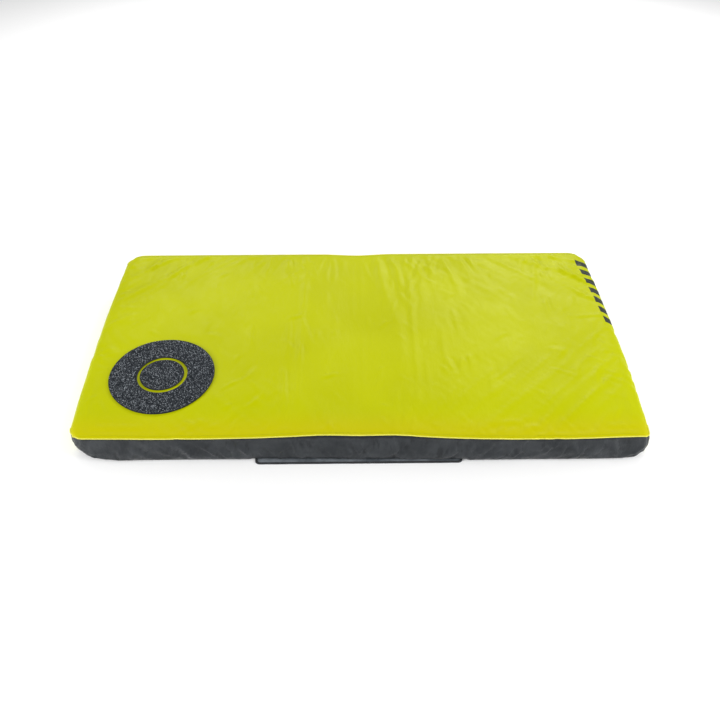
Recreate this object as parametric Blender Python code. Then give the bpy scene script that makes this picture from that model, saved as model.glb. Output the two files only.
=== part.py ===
"""A small folding crash pad for low starts: two foam halves side by side in one sewn cover,
with a shoe-wiping carpet patch, an underside flap, carry handles and a zip across the back.

Metres, +Z up. The pad lies open on z = 0 with its long side along X and its front at -Y.
The fold runs front to back at x = 0, level with the top faces. Cloth that crosses it is made
as two halves, one on each side."""

import math

import bmesh
import bpy
from mathutils import Vector

# Driving dimensions
PAD_LENGTH = 1.140
PAD_DEPTH = 0.600
PAD_THICKNESS = 0.063
CORNER_RADIUS = 0.030
CORNER_STEPS = 8

GAP = 0.0003
COVER = 0.0010
BASE = 0.0042
POCKET_DEPTH = 0.0031
FIRM_FOAM = 0.0097
FOLD_GAP = 0.0004

FLAP_WIDTH = 0.417
FLAP_DEPTH = 0.150
FLAP_LIP = 0.012
FLAP_THICKNESS = 0.0012
FLAP_CHAMFER = 0.009
FLAP_CLEARANCE = 0.002

TAPE_THICKNESS = 0.0005
TAPE_WIDTH = 0.025
TAPE_LENGTH = 0.110
TAPE_INSET = 0.012

CARPET_RADIUS = 0.114
CARPET_EDGE_MARGIN = 0.0415
CARPET_FROM_CENTRE = 0.135
CARPET_PILE = 0.0040
CARPET_RING_INNER = 0.055
CARPET_DISC_RADIUS = 0.047
CARPET_STEPS = 64

HANDLE_SPAN = 0.190
HANDLE_FROM_FOLD = 0.285
HANDLE_HEIGHT = 0.0490
HANDLE_BOW = 0.020
HANDLE_DROOP = math.radians(40)
HANDLE_STEPS = 24
WEBBING_WIDTH = 0.019
WEBBING_THICKNESS = 0.0018
ANCHOR_LENGTH = 0.030

ZIP_END = 0.535
ZIP_HEIGHT = 0.0255
ZIP_TAPE_WIDTH = 0.0230
ZIP_TAPE_THICKNESS = 0.0012
SLIDER_LENGTH = 0.0120
SLIDER_WIDTH = 0.0090
SLIDER_THICKNESS = 0.0026
SLIDER_STOP = 0.015
PIN_RADIUS = 0.0008
PIN_STEPS = 16
PULLER_WIDTH = 0.0045
PULLER_LENGTH = 0.0190
PULLER_THICKNESS = 0.0011

# Derived places
HANDLE_REACH = 0.0232
PAD_Y = (FLAP_LIP - HANDLE_REACH) / 2
FRONT = PAD_Y - PAD_DEPTH / 2
BACK = PAD_Y + PAD_DEPTH / 2
END = PAD_LENGTH / 2
SKIN = COVER + GAP
FOAM_FLOOR = BASE + GAP
FIRM_TOP = PAD_THICKNESS - SKIN
FIRM_FLOOR = FIRM_TOP - FIRM_FOAM
WALL_TOP = PAD_THICKNESS - SKIN
FOLD_PIVOT = (0.0, PAD_Y, PAD_THICKNESS + FOLD_GAP)
FLAP_PIVOT = (FLAP_WIDTH / 2, FRONT - FLAP_LIP + FLAP_DEPTH / 2, 0.0)

SIDES = {"right": 1, "left": -1}
LEFT_HALF_TRIM = ("carpet_ring", "carpet_disc", "base_loop_tape")

YELLOW = (0.62, 0.66, 0.02)
DARK_GREY = (0.050, 0.058, 0.064)
CARPET_GREY = (0.045, 0.052, 0.062)
FOAM_WHITE = (0.74, 0.73, 0.66)
FOAM_BLACK = (0.035, 0.036, 0.038)
WEBBING_BLACK = (0.020, 0.020, 0.022)
ZINC = (0.30, 0.30, 0.31)


def clear_scene():
    for item in list(bpy.data.objects):
        bpy.data.objects.remove(item, do_unlink=True)


def material(name, colour, roughness, metallic=0.0):
    found = bpy.data.materials.get(name)
    if found:
        return found
    made = bpy.data.materials.new(name)
    made.use_nodes = True
    shader = made.node_tree.nodes["Principled BSDF"]
    shader.inputs["Base Color"].default_value = (*colour, 1.0)
    shader.inputs["Roughness"].default_value = roughness
    shader.inputs["Metallic"].default_value = metallic
    made.diffuse_color = (*colour, 1.0)
    return made


def coated_nylon():
    return material("coated_nylon_yellow", YELLOW, 0.45)


def side_nylon():
    return material("coated_nylon_grey", DARK_GREY, 0.50)


def base_nylon():
    return material("base_nylon_grey", DARK_GREY, 0.60)


def soft_foam():
    return material("open_cell_foam", FOAM_WHITE, 0.90)


def firm_foam():
    return material("closed_cell_foam", FOAM_BLACK, 0.75)


def carpet():
    return material("loop_carpet", CARPET_GREY, 0.95)


def webbing():
    return material("webbing", WEBBING_BLACK, 0.70)


def hook_and_loop():
    return material("hook_and_loop", WEBBING_BLACK, 0.95)


def zip_tape_cloth():
    return material("zip_tape", WEBBING_BLACK, 0.65)


def zip_metal():
    return material("zip_metal", ZINC, 0.35, 0.9)


def fold_pivot():
    """The empty on the fold's axis that carries everything on the left half."""
    found = bpy.data.objects.get("fold_pivot")
    if found:
        return found
    pivot = bpy.data.objects.new("fold_pivot", None)
    pivot.location = FOLD_PIVOT
    bpy.context.scene.collection.objects.link(pivot)
    return pivot


def new_object(name, mesh_builder, look, location=(0.0, 0.0, 0.0)):
    """One object from a bmesh whose points are given in world coordinates."""
    mesh = bpy.data.meshes.new(name)
    bmesh.ops.translate(mesh_builder, verts=mesh_builder.verts[:], vec=-Vector(location))
    bmesh.ops.recalc_face_normals(mesh_builder, faces=mesh_builder.faces[:])
    mesh_builder.to_mesh(mesh)
    mesh_builder.free()
    mesh.materials.append(look)
    item = bpy.data.objects.new(name, mesh)
    item.location = location
    bpy.context.scene.collection.objects.link(item)
    if "left" in name or name in LEFT_HALF_TRIM:
        item.parent = fold_pivot()
        item.location = Vector(location) - Vector(FOLD_PIVOT)
    return item


def place(plane, u, v, w):
    """A point from its place (u, v) in an outline's plane and w along the plane's normal."""
    return {"XY": (u, v, w), "XZ": (u, w, v), "YZ": (w, u, v)}[plane]


def prism(outline, low, high, plane="XY"):
    """The solid between low and high over a flat outline."""
    builder = bmesh.new()
    lower = [builder.verts.new(place(plane, u, v, low)) for u, v in outline]
    upper = [builder.verts.new(place(plane, u, v, high)) for u, v in outline]
    builder.faces.new(lower)
    builder.faces.new(upper)
    count = len(outline)
    for i in range(count):
        j = (i + 1) % count
        builder.faces.new((lower[i], lower[j], upper[j], upper[i]))
    return builder


def ring_prism(outer, inner, low, high, plane="XY"):
    """The solid between low and high over a ring, whose two outlines have as many points."""
    builder = bmesh.new()
    loops = [
        [builder.verts.new(place(plane, u, v, w)) for u, v in outline]
        for outline in (outer, inner)
        for w in (low, high)
    ]
    outer_low, outer_high, inner_low, inner_high = loops
    count = len(outer)
    for i in range(count):
        j = (i + 1) % count
        builder.faces.new((outer_low[i], outer_low[j], outer_high[j], outer_high[i]))
        builder.faces.new((inner_low[i], inner_low[j], inner_high[j], inner_high[i]))
        builder.faces.new((outer_low[i], outer_low[j], inner_low[j], inner_low[i]))
        builder.faces.new((outer_high[i], outer_high[j], inner_high[j], inner_high[i]))
    return builder


def union(item, extra):
    """Join a second solid to an object, and leave the second as a hidden guide."""
    combine(item, extra, "UNION")


def cut(item, cutter):
    combine(item, cutter, "DIFFERENCE")


def combine(item, other, operation):
    step = item.modifiers.new(operation.lower(), "BOOLEAN")
    step.operation = operation
    step.object = other
    step.solver = "EXACT"
    other.hide_render = True
    other.display_type = "WIRE"


def round_edges(item):
    item.data.shade_smooth()
    item.data.set_sharp_from_angle(angle=math.radians(40))


def circle(centre_u, centre_v, radius, steps):
    return [
        (
            centre_u + radius * math.cos(2 * math.pi * i / steps),
            centre_v + radius * math.sin(2 * math.pi * i / steps),
        )
        for i in range(steps)
    ]


def corner_arc(side, front, inset):
    """The plan points round an outer corner, from the long edge to the short end."""
    radius = CORNER_RADIUS - inset
    centre_x = END - CORNER_RADIUS
    centre_y = FRONT + CORNER_RADIUS if front else BACK - CORNER_RADIUS
    turn = -1 if front else 1
    points = []
    for i in range(CORNER_STEPS + 1):
        angle = math.pi / 2 * (1 - i / CORNER_STEPS)
        x = centre_x + radius * math.cos(angle)
        y = centre_y + turn * radius * math.sin(angle)
        points.append((side * x, y))
    return points


def half_outline(side, inset):
    """The plan of one half: square at the fold, rounded at its two outer corners."""
    inner_x = side * FOLD_GAP
    front_corner = corner_arc(side, True, inset)
    back_corner = corner_arc(side, False, inset)
    return (
        [(inner_x, FRONT + inset)]
        + front_corner
        + back_corner[::-1]
        + [(inner_x, BACK - inset)]
    )


def pocket_outline(side, clearance):
    """The plan of one half's part of the space that the flap lies in."""
    outer_x = side * (FLAP_WIDTH / 2 + clearance)
    inner_x = side * (-CORNER_RADIUS)
    front_y = FRONT - FLAP_LIP - CORNER_RADIUS
    back_y = FRONT - FLAP_LIP + FLAP_DEPTH + clearance
    return [(inner_x, front_y), (outer_x, front_y), (outer_x, back_y), (inner_x, back_y)]


def foam_core(side_name, side):
    """The thick open-cell block that takes the landing."""
    solid = prism(half_outline(side, SKIN), FOAM_FLOOR, FIRM_FLOOR - GAP)
    round_edges(new_object(f"foam_core_{side_name}", solid, soft_foam()))


def firm_layer(side_name, side):
    """The closed-cell sheet on top of the core, which spreads the load."""
    solid = prism(half_outline(side, SKIN), FIRM_FLOOR, FIRM_TOP)
    round_edges(new_object(f"firm_foam_{side_name}", solid, firm_foam()))


def top_cover(side_name, side):
    """The top panel, which also turns down over the short end between the corners."""
    panel = prism(half_outline(side, 0.0), PAD_THICKNESS - COVER, PAD_THICKNESS)
    item = new_object(f"top_cover_{side_name}", panel, coated_nylon())
    low_y = FRONT + CORNER_RADIUS + GAP
    high_y = BACK - CORNER_RADIUS - GAP
    end_plan = [
        (side * (END - COVER), low_y),
        (side * END, low_y),
        (side * END, high_y),
        (side * (END - COVER), high_y),
    ]
    drop = prism(end_plan, BASE + GAP, PAD_THICKNESS - COVER / 2)
    union(item, new_object(f"guide_end_{side_name}", drop, coated_nylon()))
    round_edges(item)


def base_cover(side_name, side):
    """The underside panel, pressed up by the flap where the flap lies under it."""
    solid = prism(half_outline(side, 0.0), 0.0, BASE)
    item = new_object(f"base_cover_{side_name}", solid, base_nylon())
    hollow = prism(pocket_outline(side, FLAP_CLEARANCE), -BASE, POCKET_DEPTH)
    cut(item, new_object(f"guide_pocket_{side_name}", hollow, base_nylon()))
    round_edges(item)


def long_wall(place_name, side_name, side, front):
    """A boxing strip along a long side, which carries on round the outer corner."""
    outer_y = FRONT if front else BACK
    inward = COVER if front else -COVER
    start_x = side * FOLD_GAP
    outside = [(start_x, outer_y)] + corner_arc(side, front, 0.0)
    inside = [(start_x, outer_y + inward)] + corner_arc(side, front, COVER)
    solid = prism(outside + inside[::-1], BASE + GAP, WALL_TOP)
    round_edges(new_object(f"{place_name}_wall_{side_name}", solid, side_nylon()))


def carpet_patch():
    """The shoe-wiping patch on the left half: a carpet ring round a smaller disc."""
    centre_x = -END + CARPET_EDGE_MARGIN + CARPET_RADIUS
    centre_y = PAD_Y - CARPET_FROM_CENTRE
    low = PAD_THICKNESS + GAP
    high = low + CARPET_PILE
    outer = circle(centre_x, centre_y, CARPET_RADIUS, CARPET_STEPS)
    inner = circle(centre_x, centre_y, CARPET_RING_INNER, CARPET_STEPS)
    middle = circle(centre_x, centre_y, CARPET_DISC_RADIUS, CARPET_STEPS)
    round_edges(new_object("carpet_ring", ring_prism(outer, inner, low, high), carpet()))
    round_edges(new_object("carpet_disc", prism(middle, low, high), carpet()))


def under_flap():
    """The flap across the fold: sewn to the right half, held to the left by hook tape."""
    half = FLAP_WIDTH / 2
    lip_y = FRONT - FLAP_LIP
    back_y = lip_y + FLAP_DEPTH
    plan = [
        (half, back_y),
        (-half, back_y),
        (-half, lip_y + FLAP_CHAMFER),
        (-half + FLAP_CHAMFER, lip_y),
        (half - FLAP_CHAMFER, lip_y),
        (half, lip_y + FLAP_CHAMFER),
    ]
    solid = prism(plan, 0.0, FLAP_THICKNESS)
    new_object("under_flap", solid, side_nylon(), FLAP_PIVOT)


def tape_plan():
    """The plan of the hook tape and the loop tape, near the flap's free left edge."""
    near_x = -FLAP_WIDTH / 2 + TAPE_INSET
    back_y = FRONT - FLAP_LIP + FLAP_DEPTH - TAPE_INSET
    front_y = back_y - TAPE_LENGTH
    far_x = near_x + TAPE_WIDTH
    return [(near_x, front_y), (far_x, front_y), (far_x, back_y), (near_x, back_y)]


def hook_and_loop_tapes():
    hook_low = FLAP_THICKNESS + GAP
    hook = prism(tape_plan(), hook_low, hook_low + TAPE_THICKNESS)
    new_object("flap_hook_tape", hook, hook_and_loop(), FLAP_PIVOT)
    loop_high = POCKET_DEPTH - GAP
    loop = prism(tape_plan(), loop_high - TAPE_THICKNESS, loop_high)
    new_object("base_loop_tape", loop, hook_and_loop())


def handle_strap(side_name, side):
    """Webbing bowed out from the back wall, flat on the wall at its two sewn ends."""
    builder = bmesh.new()
    rings = []
    wall_y = BACK + GAP + WEBBING_THICKNESS / 2
    for i in range(HANDLE_STEPS + 1):
        along = i / HANDLE_STEPS
        lift = math.sin(math.pi * along) ** 2
        slope = HANDLE_BOW * math.pi * math.sin(2 * math.pi * along) / HANDLE_SPAN
        tilt = HANDLE_DROOP * lift
        centre = Vector(
            (
                side * HANDLE_FROM_FOLD + (along - 0.5) * HANDLE_SPAN,
                wall_y + HANDLE_BOW * lift * math.cos(HANDLE_DROOP),
                HANDLE_HEIGHT - HANDLE_BOW * lift * math.sin(HANDLE_DROOP),
            )
        )
        wide = Vector((0.0, math.sin(tilt), math.cos(tilt)))
        run = Vector((1.0, slope * math.cos(tilt), -slope * math.sin(tilt))).normalized()
        thick = wide.cross(run).normalized()
        corners = ((1, 1), (1, -1), (-1, -1), (-1, 1))
        rings.append(
            [
                builder.verts.new(
                    centre + wide * a * WEBBING_WIDTH / 2 + thick * b * WEBBING_THICKNESS / 2
                )
                for a, b in corners
            ]
        )
    for first, second in zip(rings, rings[1:]):
        for i in range(4):
            j = (i + 1) % 4
            builder.faces.new((first[i], first[j], second[j], second[i]))
    builder.faces.new(rings[0])
    builder.faces.new(rings[-1])
    pivot = (side * HANDLE_FROM_FOLD, BACK + GAP, HANDLE_HEIGHT + WEBBING_WIDTH / 2)
    round_edges(new_object(f"handle_{side_name}", builder, webbing(), pivot))


def handle_anchors(side_name, side):
    """The strap's box-stitched ends, which stay on the wall."""
    low_y = BACK + GAP
    for end_name, direction in (("inner", -side), ("outer", side)):
        near_x = side * HANDLE_FROM_FOLD + direction * (HANDLE_SPAN / 2 + GAP)
        far_x = near_x + direction * ANCHOR_LENGTH
        low_z = HANDLE_HEIGHT - WEBBING_WIDTH / 2
        high_z = HANDLE_HEIGHT + WEBBING_WIDTH / 2
        face = [(near_x, low_z), (far_x, low_z), (far_x, high_z), (near_x, high_z)]
        solid = prism(face, low_y, low_y + WEBBING_THICKNESS, "XZ")
        new_object(f"handle_anchor_{side_name}_{end_name}", solid, webbing())


def zip_tape(side_name, side):
    """The closed zip along the back wall, through which the foam goes in."""
    low_z = ZIP_HEIGHT - ZIP_TAPE_WIDTH / 2
    high_z = ZIP_HEIGHT + ZIP_TAPE_WIDTH / 2
    start_x = side * FOLD_GAP
    end_x = side * ZIP_END
    face = [(start_x, low_z), (end_x, low_z), (end_x, high_z), (start_x, high_z)]
    low_y = BACK + GAP
    solid = prism(face, low_y, low_y + ZIP_TAPE_THICKNESS, "XZ")
    new_object(f"zip_tape_{side_name}", solid, zip_tape_cloth())


def slider_place(side):
    """The slider's centre on the tape's face, at the outer end of the zip."""
    face_y = BACK + GAP + ZIP_TAPE_THICKNESS + GAP
    return Vector((side * (ZIP_END - SLIDER_STOP), face_y, ZIP_HEIGHT))


def slider_outline(centre):
    """A slider's face: wide where the teeth part, narrow behind."""
    half_long = SLIDER_LENGTH / 2
    half_wide = SLIDER_WIDTH / 2
    rows = ((1.0, 0.55), (0.6, 1.0), (-0.2, 1.0), (-1.0, 0.60))
    upper = [(centre.x + a * half_long, centre.z + b * half_wide) for a, b in rows]
    lower = [(centre.x + a * half_long, centre.z - b * half_wide) for a, b in rows[::-1]]
    return upper + lower


def zip_slider(side_name, side):
    """The slider's body with two ears and the pin that carries the puller."""
    centre = slider_place(side)
    solid = prism(slider_outline(centre), centre.y, centre.y + SLIDER_THICKNESS, "XZ")
    item = new_object(f"zip_slider_{side_name}", solid, zip_metal(), centre)
    pin_y = centre.y + SLIDER_THICKNESS + 2.6 * PIN_RADIUS
    ear_thick = 0.0010
    ear_half = PULLER_WIDTH / 2 + GAP
    for direction in (-1, 1):
        near_x = centre.x + direction * ear_half
        far_x = near_x + direction * ear_thick
        low_y = centre.y + SLIDER_THICKNESS / 2
        ear_face = [
            (low_y, centre.z - 0.0022),
            (low_y, centre.z + 0.0022),
            (pin_y + PIN_RADIUS * 1.6, centre.z + 0.0014),
            (pin_y + PIN_RADIUS * 1.6, centre.z - 0.0014),
        ]
        ear = prism(ear_face, min(near_x, far_x), max(near_x, far_x), "YZ")
        union(item, new_object(f"guide_ear_{side_name}_{direction}", ear, zip_metal()))
    reach = ear_half + ear_thick / 2
    pin_face = circle(pin_y, centre.z, PIN_RADIUS, PIN_STEPS)
    pin = prism(pin_face, centre.x - reach, centre.x + reach, "YZ")
    union(item, new_object(f"guide_pin_{side_name}", pin, zip_metal()))


def zip_puller(side_name, side):
    """The puller: an eye round the slider's pin, and a flat tab that hangs from it."""
    centre = slider_place(side)
    pin_y = centre.y + SLIDER_THICKNESS + 2.6 * PIN_RADIUS
    low_x = centre.x - PULLER_WIDTH / 2
    high_x = centre.x + PULLER_WIDTH / 2
    eye_inner = PIN_RADIUS + GAP
    eye_outer = eye_inner + 0.0006
    eye = ring_prism(
        circle(pin_y, centre.z, eye_outer, PIN_STEPS),
        circle(pin_y, centre.z, eye_inner, PIN_STEPS),
        low_x,
        high_x,
        "YZ",
    )
    pivot = (centre.x, pin_y, centre.z)
    item = new_object(f"zip_puller_{side_name}", eye, zip_metal(), pivot)
    top_z = centre.z - eye_inner - 0.0002
    low_z = centre.z - PULLER_LENGTH
    half = PULLER_WIDTH / 2
    tab_face = [
        (centre.x - half * 0.9, top_z),
        (centre.x - half, low_z + 0.003),
        (centre.x - half * 0.6, low_z),
        (centre.x + half * 0.6, low_z),
        (centre.x + half, low_z + 0.003),
        (centre.x + half * 0.9, top_z),
    ]
    low_y = pin_y - PULLER_THICKNESS / 2
    tab = prism(tab_face, low_y, low_y + PULLER_THICKNESS, "XZ")
    union(item, new_object(f"guide_tab_{side_name}", tab, zip_metal()))


def build():
    clear_scene()
    for side_name, side in SIDES.items():
        foam_core(side_name, side)
        firm_layer(side_name, side)
        top_cover(side_name, side)
        base_cover(side_name, side)
        long_wall("front", side_name, side, True)
        long_wall("back", side_name, side, False)
        handle_strap(side_name, side)
        handle_anchors(side_name, side)
        zip_tape(side_name, side)
        zip_slider(side_name, side)
        zip_puller(side_name, side)
    carpet_patch()
    under_flap()
    hook_and_loop_tapes()


build()
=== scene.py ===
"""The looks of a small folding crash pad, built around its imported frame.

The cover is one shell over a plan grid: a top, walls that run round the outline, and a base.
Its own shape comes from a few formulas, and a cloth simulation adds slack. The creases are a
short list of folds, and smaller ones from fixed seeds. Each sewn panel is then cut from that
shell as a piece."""

import math

import bmesh
import bpy
import numpy as np
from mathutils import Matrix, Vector


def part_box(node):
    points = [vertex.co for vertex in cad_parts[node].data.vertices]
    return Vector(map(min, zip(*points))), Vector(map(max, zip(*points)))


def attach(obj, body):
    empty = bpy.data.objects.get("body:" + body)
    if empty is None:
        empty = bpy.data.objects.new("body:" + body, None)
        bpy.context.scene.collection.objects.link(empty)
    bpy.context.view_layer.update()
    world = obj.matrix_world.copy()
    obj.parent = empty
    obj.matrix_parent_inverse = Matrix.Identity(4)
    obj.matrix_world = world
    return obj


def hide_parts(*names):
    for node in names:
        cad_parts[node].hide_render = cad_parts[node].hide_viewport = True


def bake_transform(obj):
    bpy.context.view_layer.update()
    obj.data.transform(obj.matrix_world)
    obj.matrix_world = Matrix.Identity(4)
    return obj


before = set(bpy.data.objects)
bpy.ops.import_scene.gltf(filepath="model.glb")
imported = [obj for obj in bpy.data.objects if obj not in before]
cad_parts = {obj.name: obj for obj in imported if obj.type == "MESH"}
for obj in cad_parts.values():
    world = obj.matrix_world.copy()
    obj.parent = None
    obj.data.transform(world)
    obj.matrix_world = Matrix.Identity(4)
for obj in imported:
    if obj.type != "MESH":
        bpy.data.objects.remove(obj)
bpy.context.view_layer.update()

MM = 0.001
SIDES = (("right", 1), ("left", -1))

# Places, from the frame
cover_low, cover_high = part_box("top_cover_right")
flap_low, flap_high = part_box("under_flap")
ring_low, ring_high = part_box("carpet_ring")
disc_low, disc_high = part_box("carpet_disc")
END = cover_high.x
FRONT = cover_low.y
BACK = cover_high.y
MIDDLE = (FRONT + BACK) / 2
HALF_DEPTH = (BACK - FRONT) / 2
FOLD_TOP = cover_high.z + 0.0010
TOP = cover_high.z + 0.0050
FLAP_TOP = flap_high.z
FLAP_MIDDLE = (flap_low.x + flap_high.x) / 2
FLAP_HALF = (flap_high.x - flap_low.x) / 2

# The cover's shape: corner radii, how far it swells, sinks, rolls and bows, and where
LEFT_TOP_RADIUS = 0.032
RIGHT_TOP_RADIUS = 0.012
BACK_TOP_RADIUS = 0.040
LEFT_BASE_RADIUS = 0.058
RIGHT_BASE_RADIUS = 0.034
BACK_BASE_RADIUS = 0.044
WRAP = 0.030
SEAM_DROP = 0.0012
SEAM_LIP = 1.0 * MM
LIP_PLACE = 2.4 * MM
LIP_WIDTH = 1.5 * MM
STITCH_DENT = 0.8 * MM
STITCH_PLACE = 6.2 * MM
STITCH_WIDTH = 1.6 * MM
SEWN_REACH = 0.014
SEAM_GROOVE = 2.6 * MM
GROOVE_SHARE = 0.040
BASE_EDGE = 0.0022
BASE_LEVEL = 0.0005
POCKET_LEVEL = FLAP_TOP + 1.9 * MM
CURL_REACH = 0.10
LEFT_CURL = 0.0110
RIGHT_CURL = 0.0040
BACK_CURL = 0.0030
LEFT_SWELL = 0.0018
RIGHT_SWELL = 0.0040
BACK_SWELL = 0.0002
FRONT_TUCK = 0.0035
BACK_TUCK = 0.0012
CROWN = 0.0034
CROWN_REACH = 0.110
FOLD_REACH = 0.13
SEAM_FOLD_REACH = 0.09
END_ROLL = 0.0055
END_ROLL_REACH = 0.020
SEAM_ROLL_REACH = 0.013
FRONT_ROLL = 0.0010
BACK_ROLL = 0.0030
FOLD_ZONE = 0.020
FRONT_LOBES = ((-0.36, 0.15, 0.0030), (0.38, 0.25, 0.0105))
LOBE_REACH = 0.075
FOLD_PULL = 0.0035
LEFT_PUSH = 0.0100
RIGHT_PUSH = 0.0165
RIGHT_BOW = 0.0086
LEFT_BOW = 0.0060
BOW_REACH = 0.30

# Grid lines, closer together beside the seams and across the fold
COVER_STEP = 0.0045
FOLD_STEP = 0.0020
SEAM_LINES = (0.0, 0.0011, 0.0026, 0.0046, 0.0078, 0.0125)
WALL_LINES = (0.0, 0.022, 0.05, 0.09, 0.15, 0.22, 0.30, 0.38)
WALL_LINES += (0.46, 0.54, 0.62, 0.70, 0.78, 0.86, 0.93, 1.0)


def smooth(t):
    """0 up to 0, 1 from 1, and a smooth step between."""
    t = np.clip(t, 0.0, 1.0)
    return t * t * (3 - 2 * t)


def bell(t):
    """1 at 0, falling away on both sides."""
    return np.exp(-(t**2))


def mix(low, high, share):
    return low + (high - low) * share


def backness(y):
    """0 over most of the depth, rising to 1 at the back wall."""
    return smooth((y - (BACK - 0.16)) / 0.14)


def rightness(x, reach=0.3):
    """0 at the left and 1 at the right, with a smooth step of that reach about the fold."""
    return smooth((x + reach) / (2 * reach))


def from_end(x):
    return END - np.abs(x)


def from_long_side(y):
    return np.minimum(y - FRONT, BACK - y)


def run_along(path):
    """How far along a path each of its points is."""
    steps = np.linalg.norm(np.diff(path, axis=0), axis=-1)
    return np.concatenate([[0.0], np.cumsum(steps)])


def unit(vectors):
    return vectors / np.maximum(np.linalg.norm(vectors, axis=-1, keepdims=True), 1e-12)


def paired(a, b):
    """Two arrays that broadcast, side by side as plane coordinates."""
    return np.stack(np.broadcast_arrays(a, b), -1)


def round_plan(x, y, radius, inset):
    """Plan rectangle to plan outline with round corners, moved inwards by inset."""
    across = np.abs(x) * (1 - inset / END)
    along = np.abs(y - MIDDLE) * (1 - inset / HALF_DEPTH)
    flat_x = END - inset - radius
    flat_y = HALF_DEPTH - inset - radius
    a = np.maximum(across - flat_x, 0.0)
    b = np.maximum(along - flat_y, 0.0)
    new_x = np.minimum(across, flat_x) + a * np.sqrt(1 - b**2 / (2 * radius**2))
    new_y = np.minimum(along, flat_y) + b * np.sqrt(1 - a**2 / (2 * radius**2))
    return np.copysign(new_x, x), MIDDLE + np.copysign(new_y, y - MIDDLE)


def front_lobes(x):
    """How far each half's foam pushes the front seam out, with the fold pulled in between."""
    lobes = sum(height * bell((x - place) / width) for place, width, height in FRONT_LOBES)
    return lobes - FOLD_PULL * bell(x / 0.11)


def outline_shift(x, y, t):
    """The moves of the outline: the front bulges and both ends bow out. t is 0 at the top seam."""
    near = bell((y - FRONT) / LOBE_REACH)
    lobes = front_lobes(x)
    down = smooth(np.asarray(t))
    push = mix(LEFT_PUSH, RIGHT_PUSH, rightness(x))
    out_y = mix(0.85 * lobes, push, down) * near
    drop = 0.22 * np.maximum(lobes, 0) * near * (1 - down)
    share = np.clip((y - FRONT) / (BACK - FRONT), 0, 1)
    right_bow = RIGHT_BOW * np.sin(np.pi * share**0.7)
    bow = np.where(x > 0, right_bow, -LEFT_BOW * np.sin(np.pi * share) ** 1.2)
    out_x = bow * smooth(1 - from_end(x) / BOW_REACH)
    return out_x, -out_y, -drop


def over_flap(x, y, soft=0.010):
    """1 where the flap lies under the base, 0 elsewhere, with soft sides."""
    side = smooth((flap_high.x + 0.004 - np.abs(x)) / soft + 1)
    return side * smooth((flap_high.y + 0.004 - y) / soft + 1)


def top_surface(x, y):
    """The top panel's points before slack and folds."""
    radius = top_radius(x, backness(y))
    px, py = round_plan(x, y, radius, 0.0)
    to_end = from_end(x)
    to_seam = from_long_side(y)
    rise = smooth(to_end / CROWN_REACH) * smooth(to_seam / CROWN_REACH)
    away = smooth(np.abs(x) / mix(SEAM_FOLD_REACH, FOLD_REACH, smooth(to_seam / CROWN_REACH)))
    end_roll = END_ROLL * np.clip(1 - to_end / END_ROLL_REACH, 0, 1) ** 2
    seam_roll = mix(FRONT_ROLL, BACK_ROLL, backness(y))
    seam_roll = seam_roll * np.clip(1 - to_seam / SEAM_ROLL_REACH, 0, 1) ** 2
    sewn = smooth(to_end / SEWN_REACH)
    lip = SEAM_LIP * sewn * bell((to_seam - LIP_PLACE) / LIP_WIDTH)
    dent = -STITCH_DENT * sewn * bell((to_seam - STITCH_PLACE) / STITCH_WIDTH)
    level = mix(FOLD_TOP, TOP + CROWN * rise, away)
    z = level - np.maximum(end_roll, seam_roll) + lip + dent
    dx, dy, dz = outline_shift(x, y, 0.0)
    return np.stack([px + dx, py + dy, z + dz], -1)


def wall_surface(x, y, t):
    """The walls' points: t is 0 at the top seam and 1 at the base seam."""
    back = backness(y)
    seam = top_surface(x, y)[..., 2]
    radius_top = top_radius(x, back)
    radius_base = base_radius(x, back)
    radius = mix(radius_top, radius_base, smooth(t / 0.92) * t**1.5)
    front_swell = mix(LEFT_SWELL, RIGHT_SWELL, rightness(x, 0.4))
    swell = mix(front_swell, BACK_SWELL, back) * np.sin(np.pi * t) ** 0.8
    tuck = mix(FRONT_TUCK, BACK_TUCK, back) * t**2.5
    px, py = round_plan(x, y, radius, tuck - swell)
    low = BASE_EDGE + (POCKET_LEVEL - BASE_LEVEL) * over_flap(x, y) + corner_lift(x, y)
    dx, dy, _ = outline_shift(x, y, t)
    groove = SEAM_GROOVE * bell(t / GROOVE_SHARE)
    at_front = np.where(y < FRONT + 1e-6, groove, 0)
    py = py + dy + at_front - np.where(y > BACK - 1e-6, groove, 0)
    return np.stack([px + dx, py, mix(seam, low, t)], -1)


def top_radius(x, back):
    """The top outline's corner radius: small in front, larger at the back."""
    front = mix(LEFT_TOP_RADIUS, RIGHT_TOP_RADIUS, rightness(x))
    return mix(front, BACK_TOP_RADIUS, back)


def corner_lift(x, y):
    """How far the base edge curls up at the corners."""
    near_end = smooth((np.abs(x) - (END - CURL_REACH)) / CURL_REACH)
    near_front = smooth((FRONT + CURL_REACH - y) / CURL_REACH)
    near_back = smooth((y - (BACK - CURL_REACH)) / CURL_REACH)
    height = mix(LEFT_CURL, RIGHT_CURL, rightness(x))
    return near_end * (height * near_front + BACK_CURL * near_back)


def base_radius(x, back):
    """The base outline's corner radius: larger at the left front corner, which is softer."""
    front = mix(LEFT_BASE_RADIUS, RIGHT_BASE_RADIUS, rightness(x))
    return mix(front, BACK_BASE_RADIUS, back)


def base_surface(x, y):
    """The base's points: flat in the middle, with raised edges and a shallow place for the flap."""
    back = backness(y)
    radius = base_radius(x, back)
    px, py = round_plan(x, y, radius, mix(FRONT_TUCK, BACK_TUCK, back))
    to_edge = np.minimum(from_end(x), from_long_side(y))
    curl = corner_lift(x, y)
    level = mix(BASE_EDGE + curl, BASE_LEVEL, smooth(to_edge / (0.020 + 9 * curl)))
    level = level + (POCKET_LEVEL - BASE_LEVEL) * over_flap(x, y)
    dx, dy, _ = outline_shift(x, y, 1.0)
    return np.stack([px + dx, py + dy, level], -1)


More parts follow.
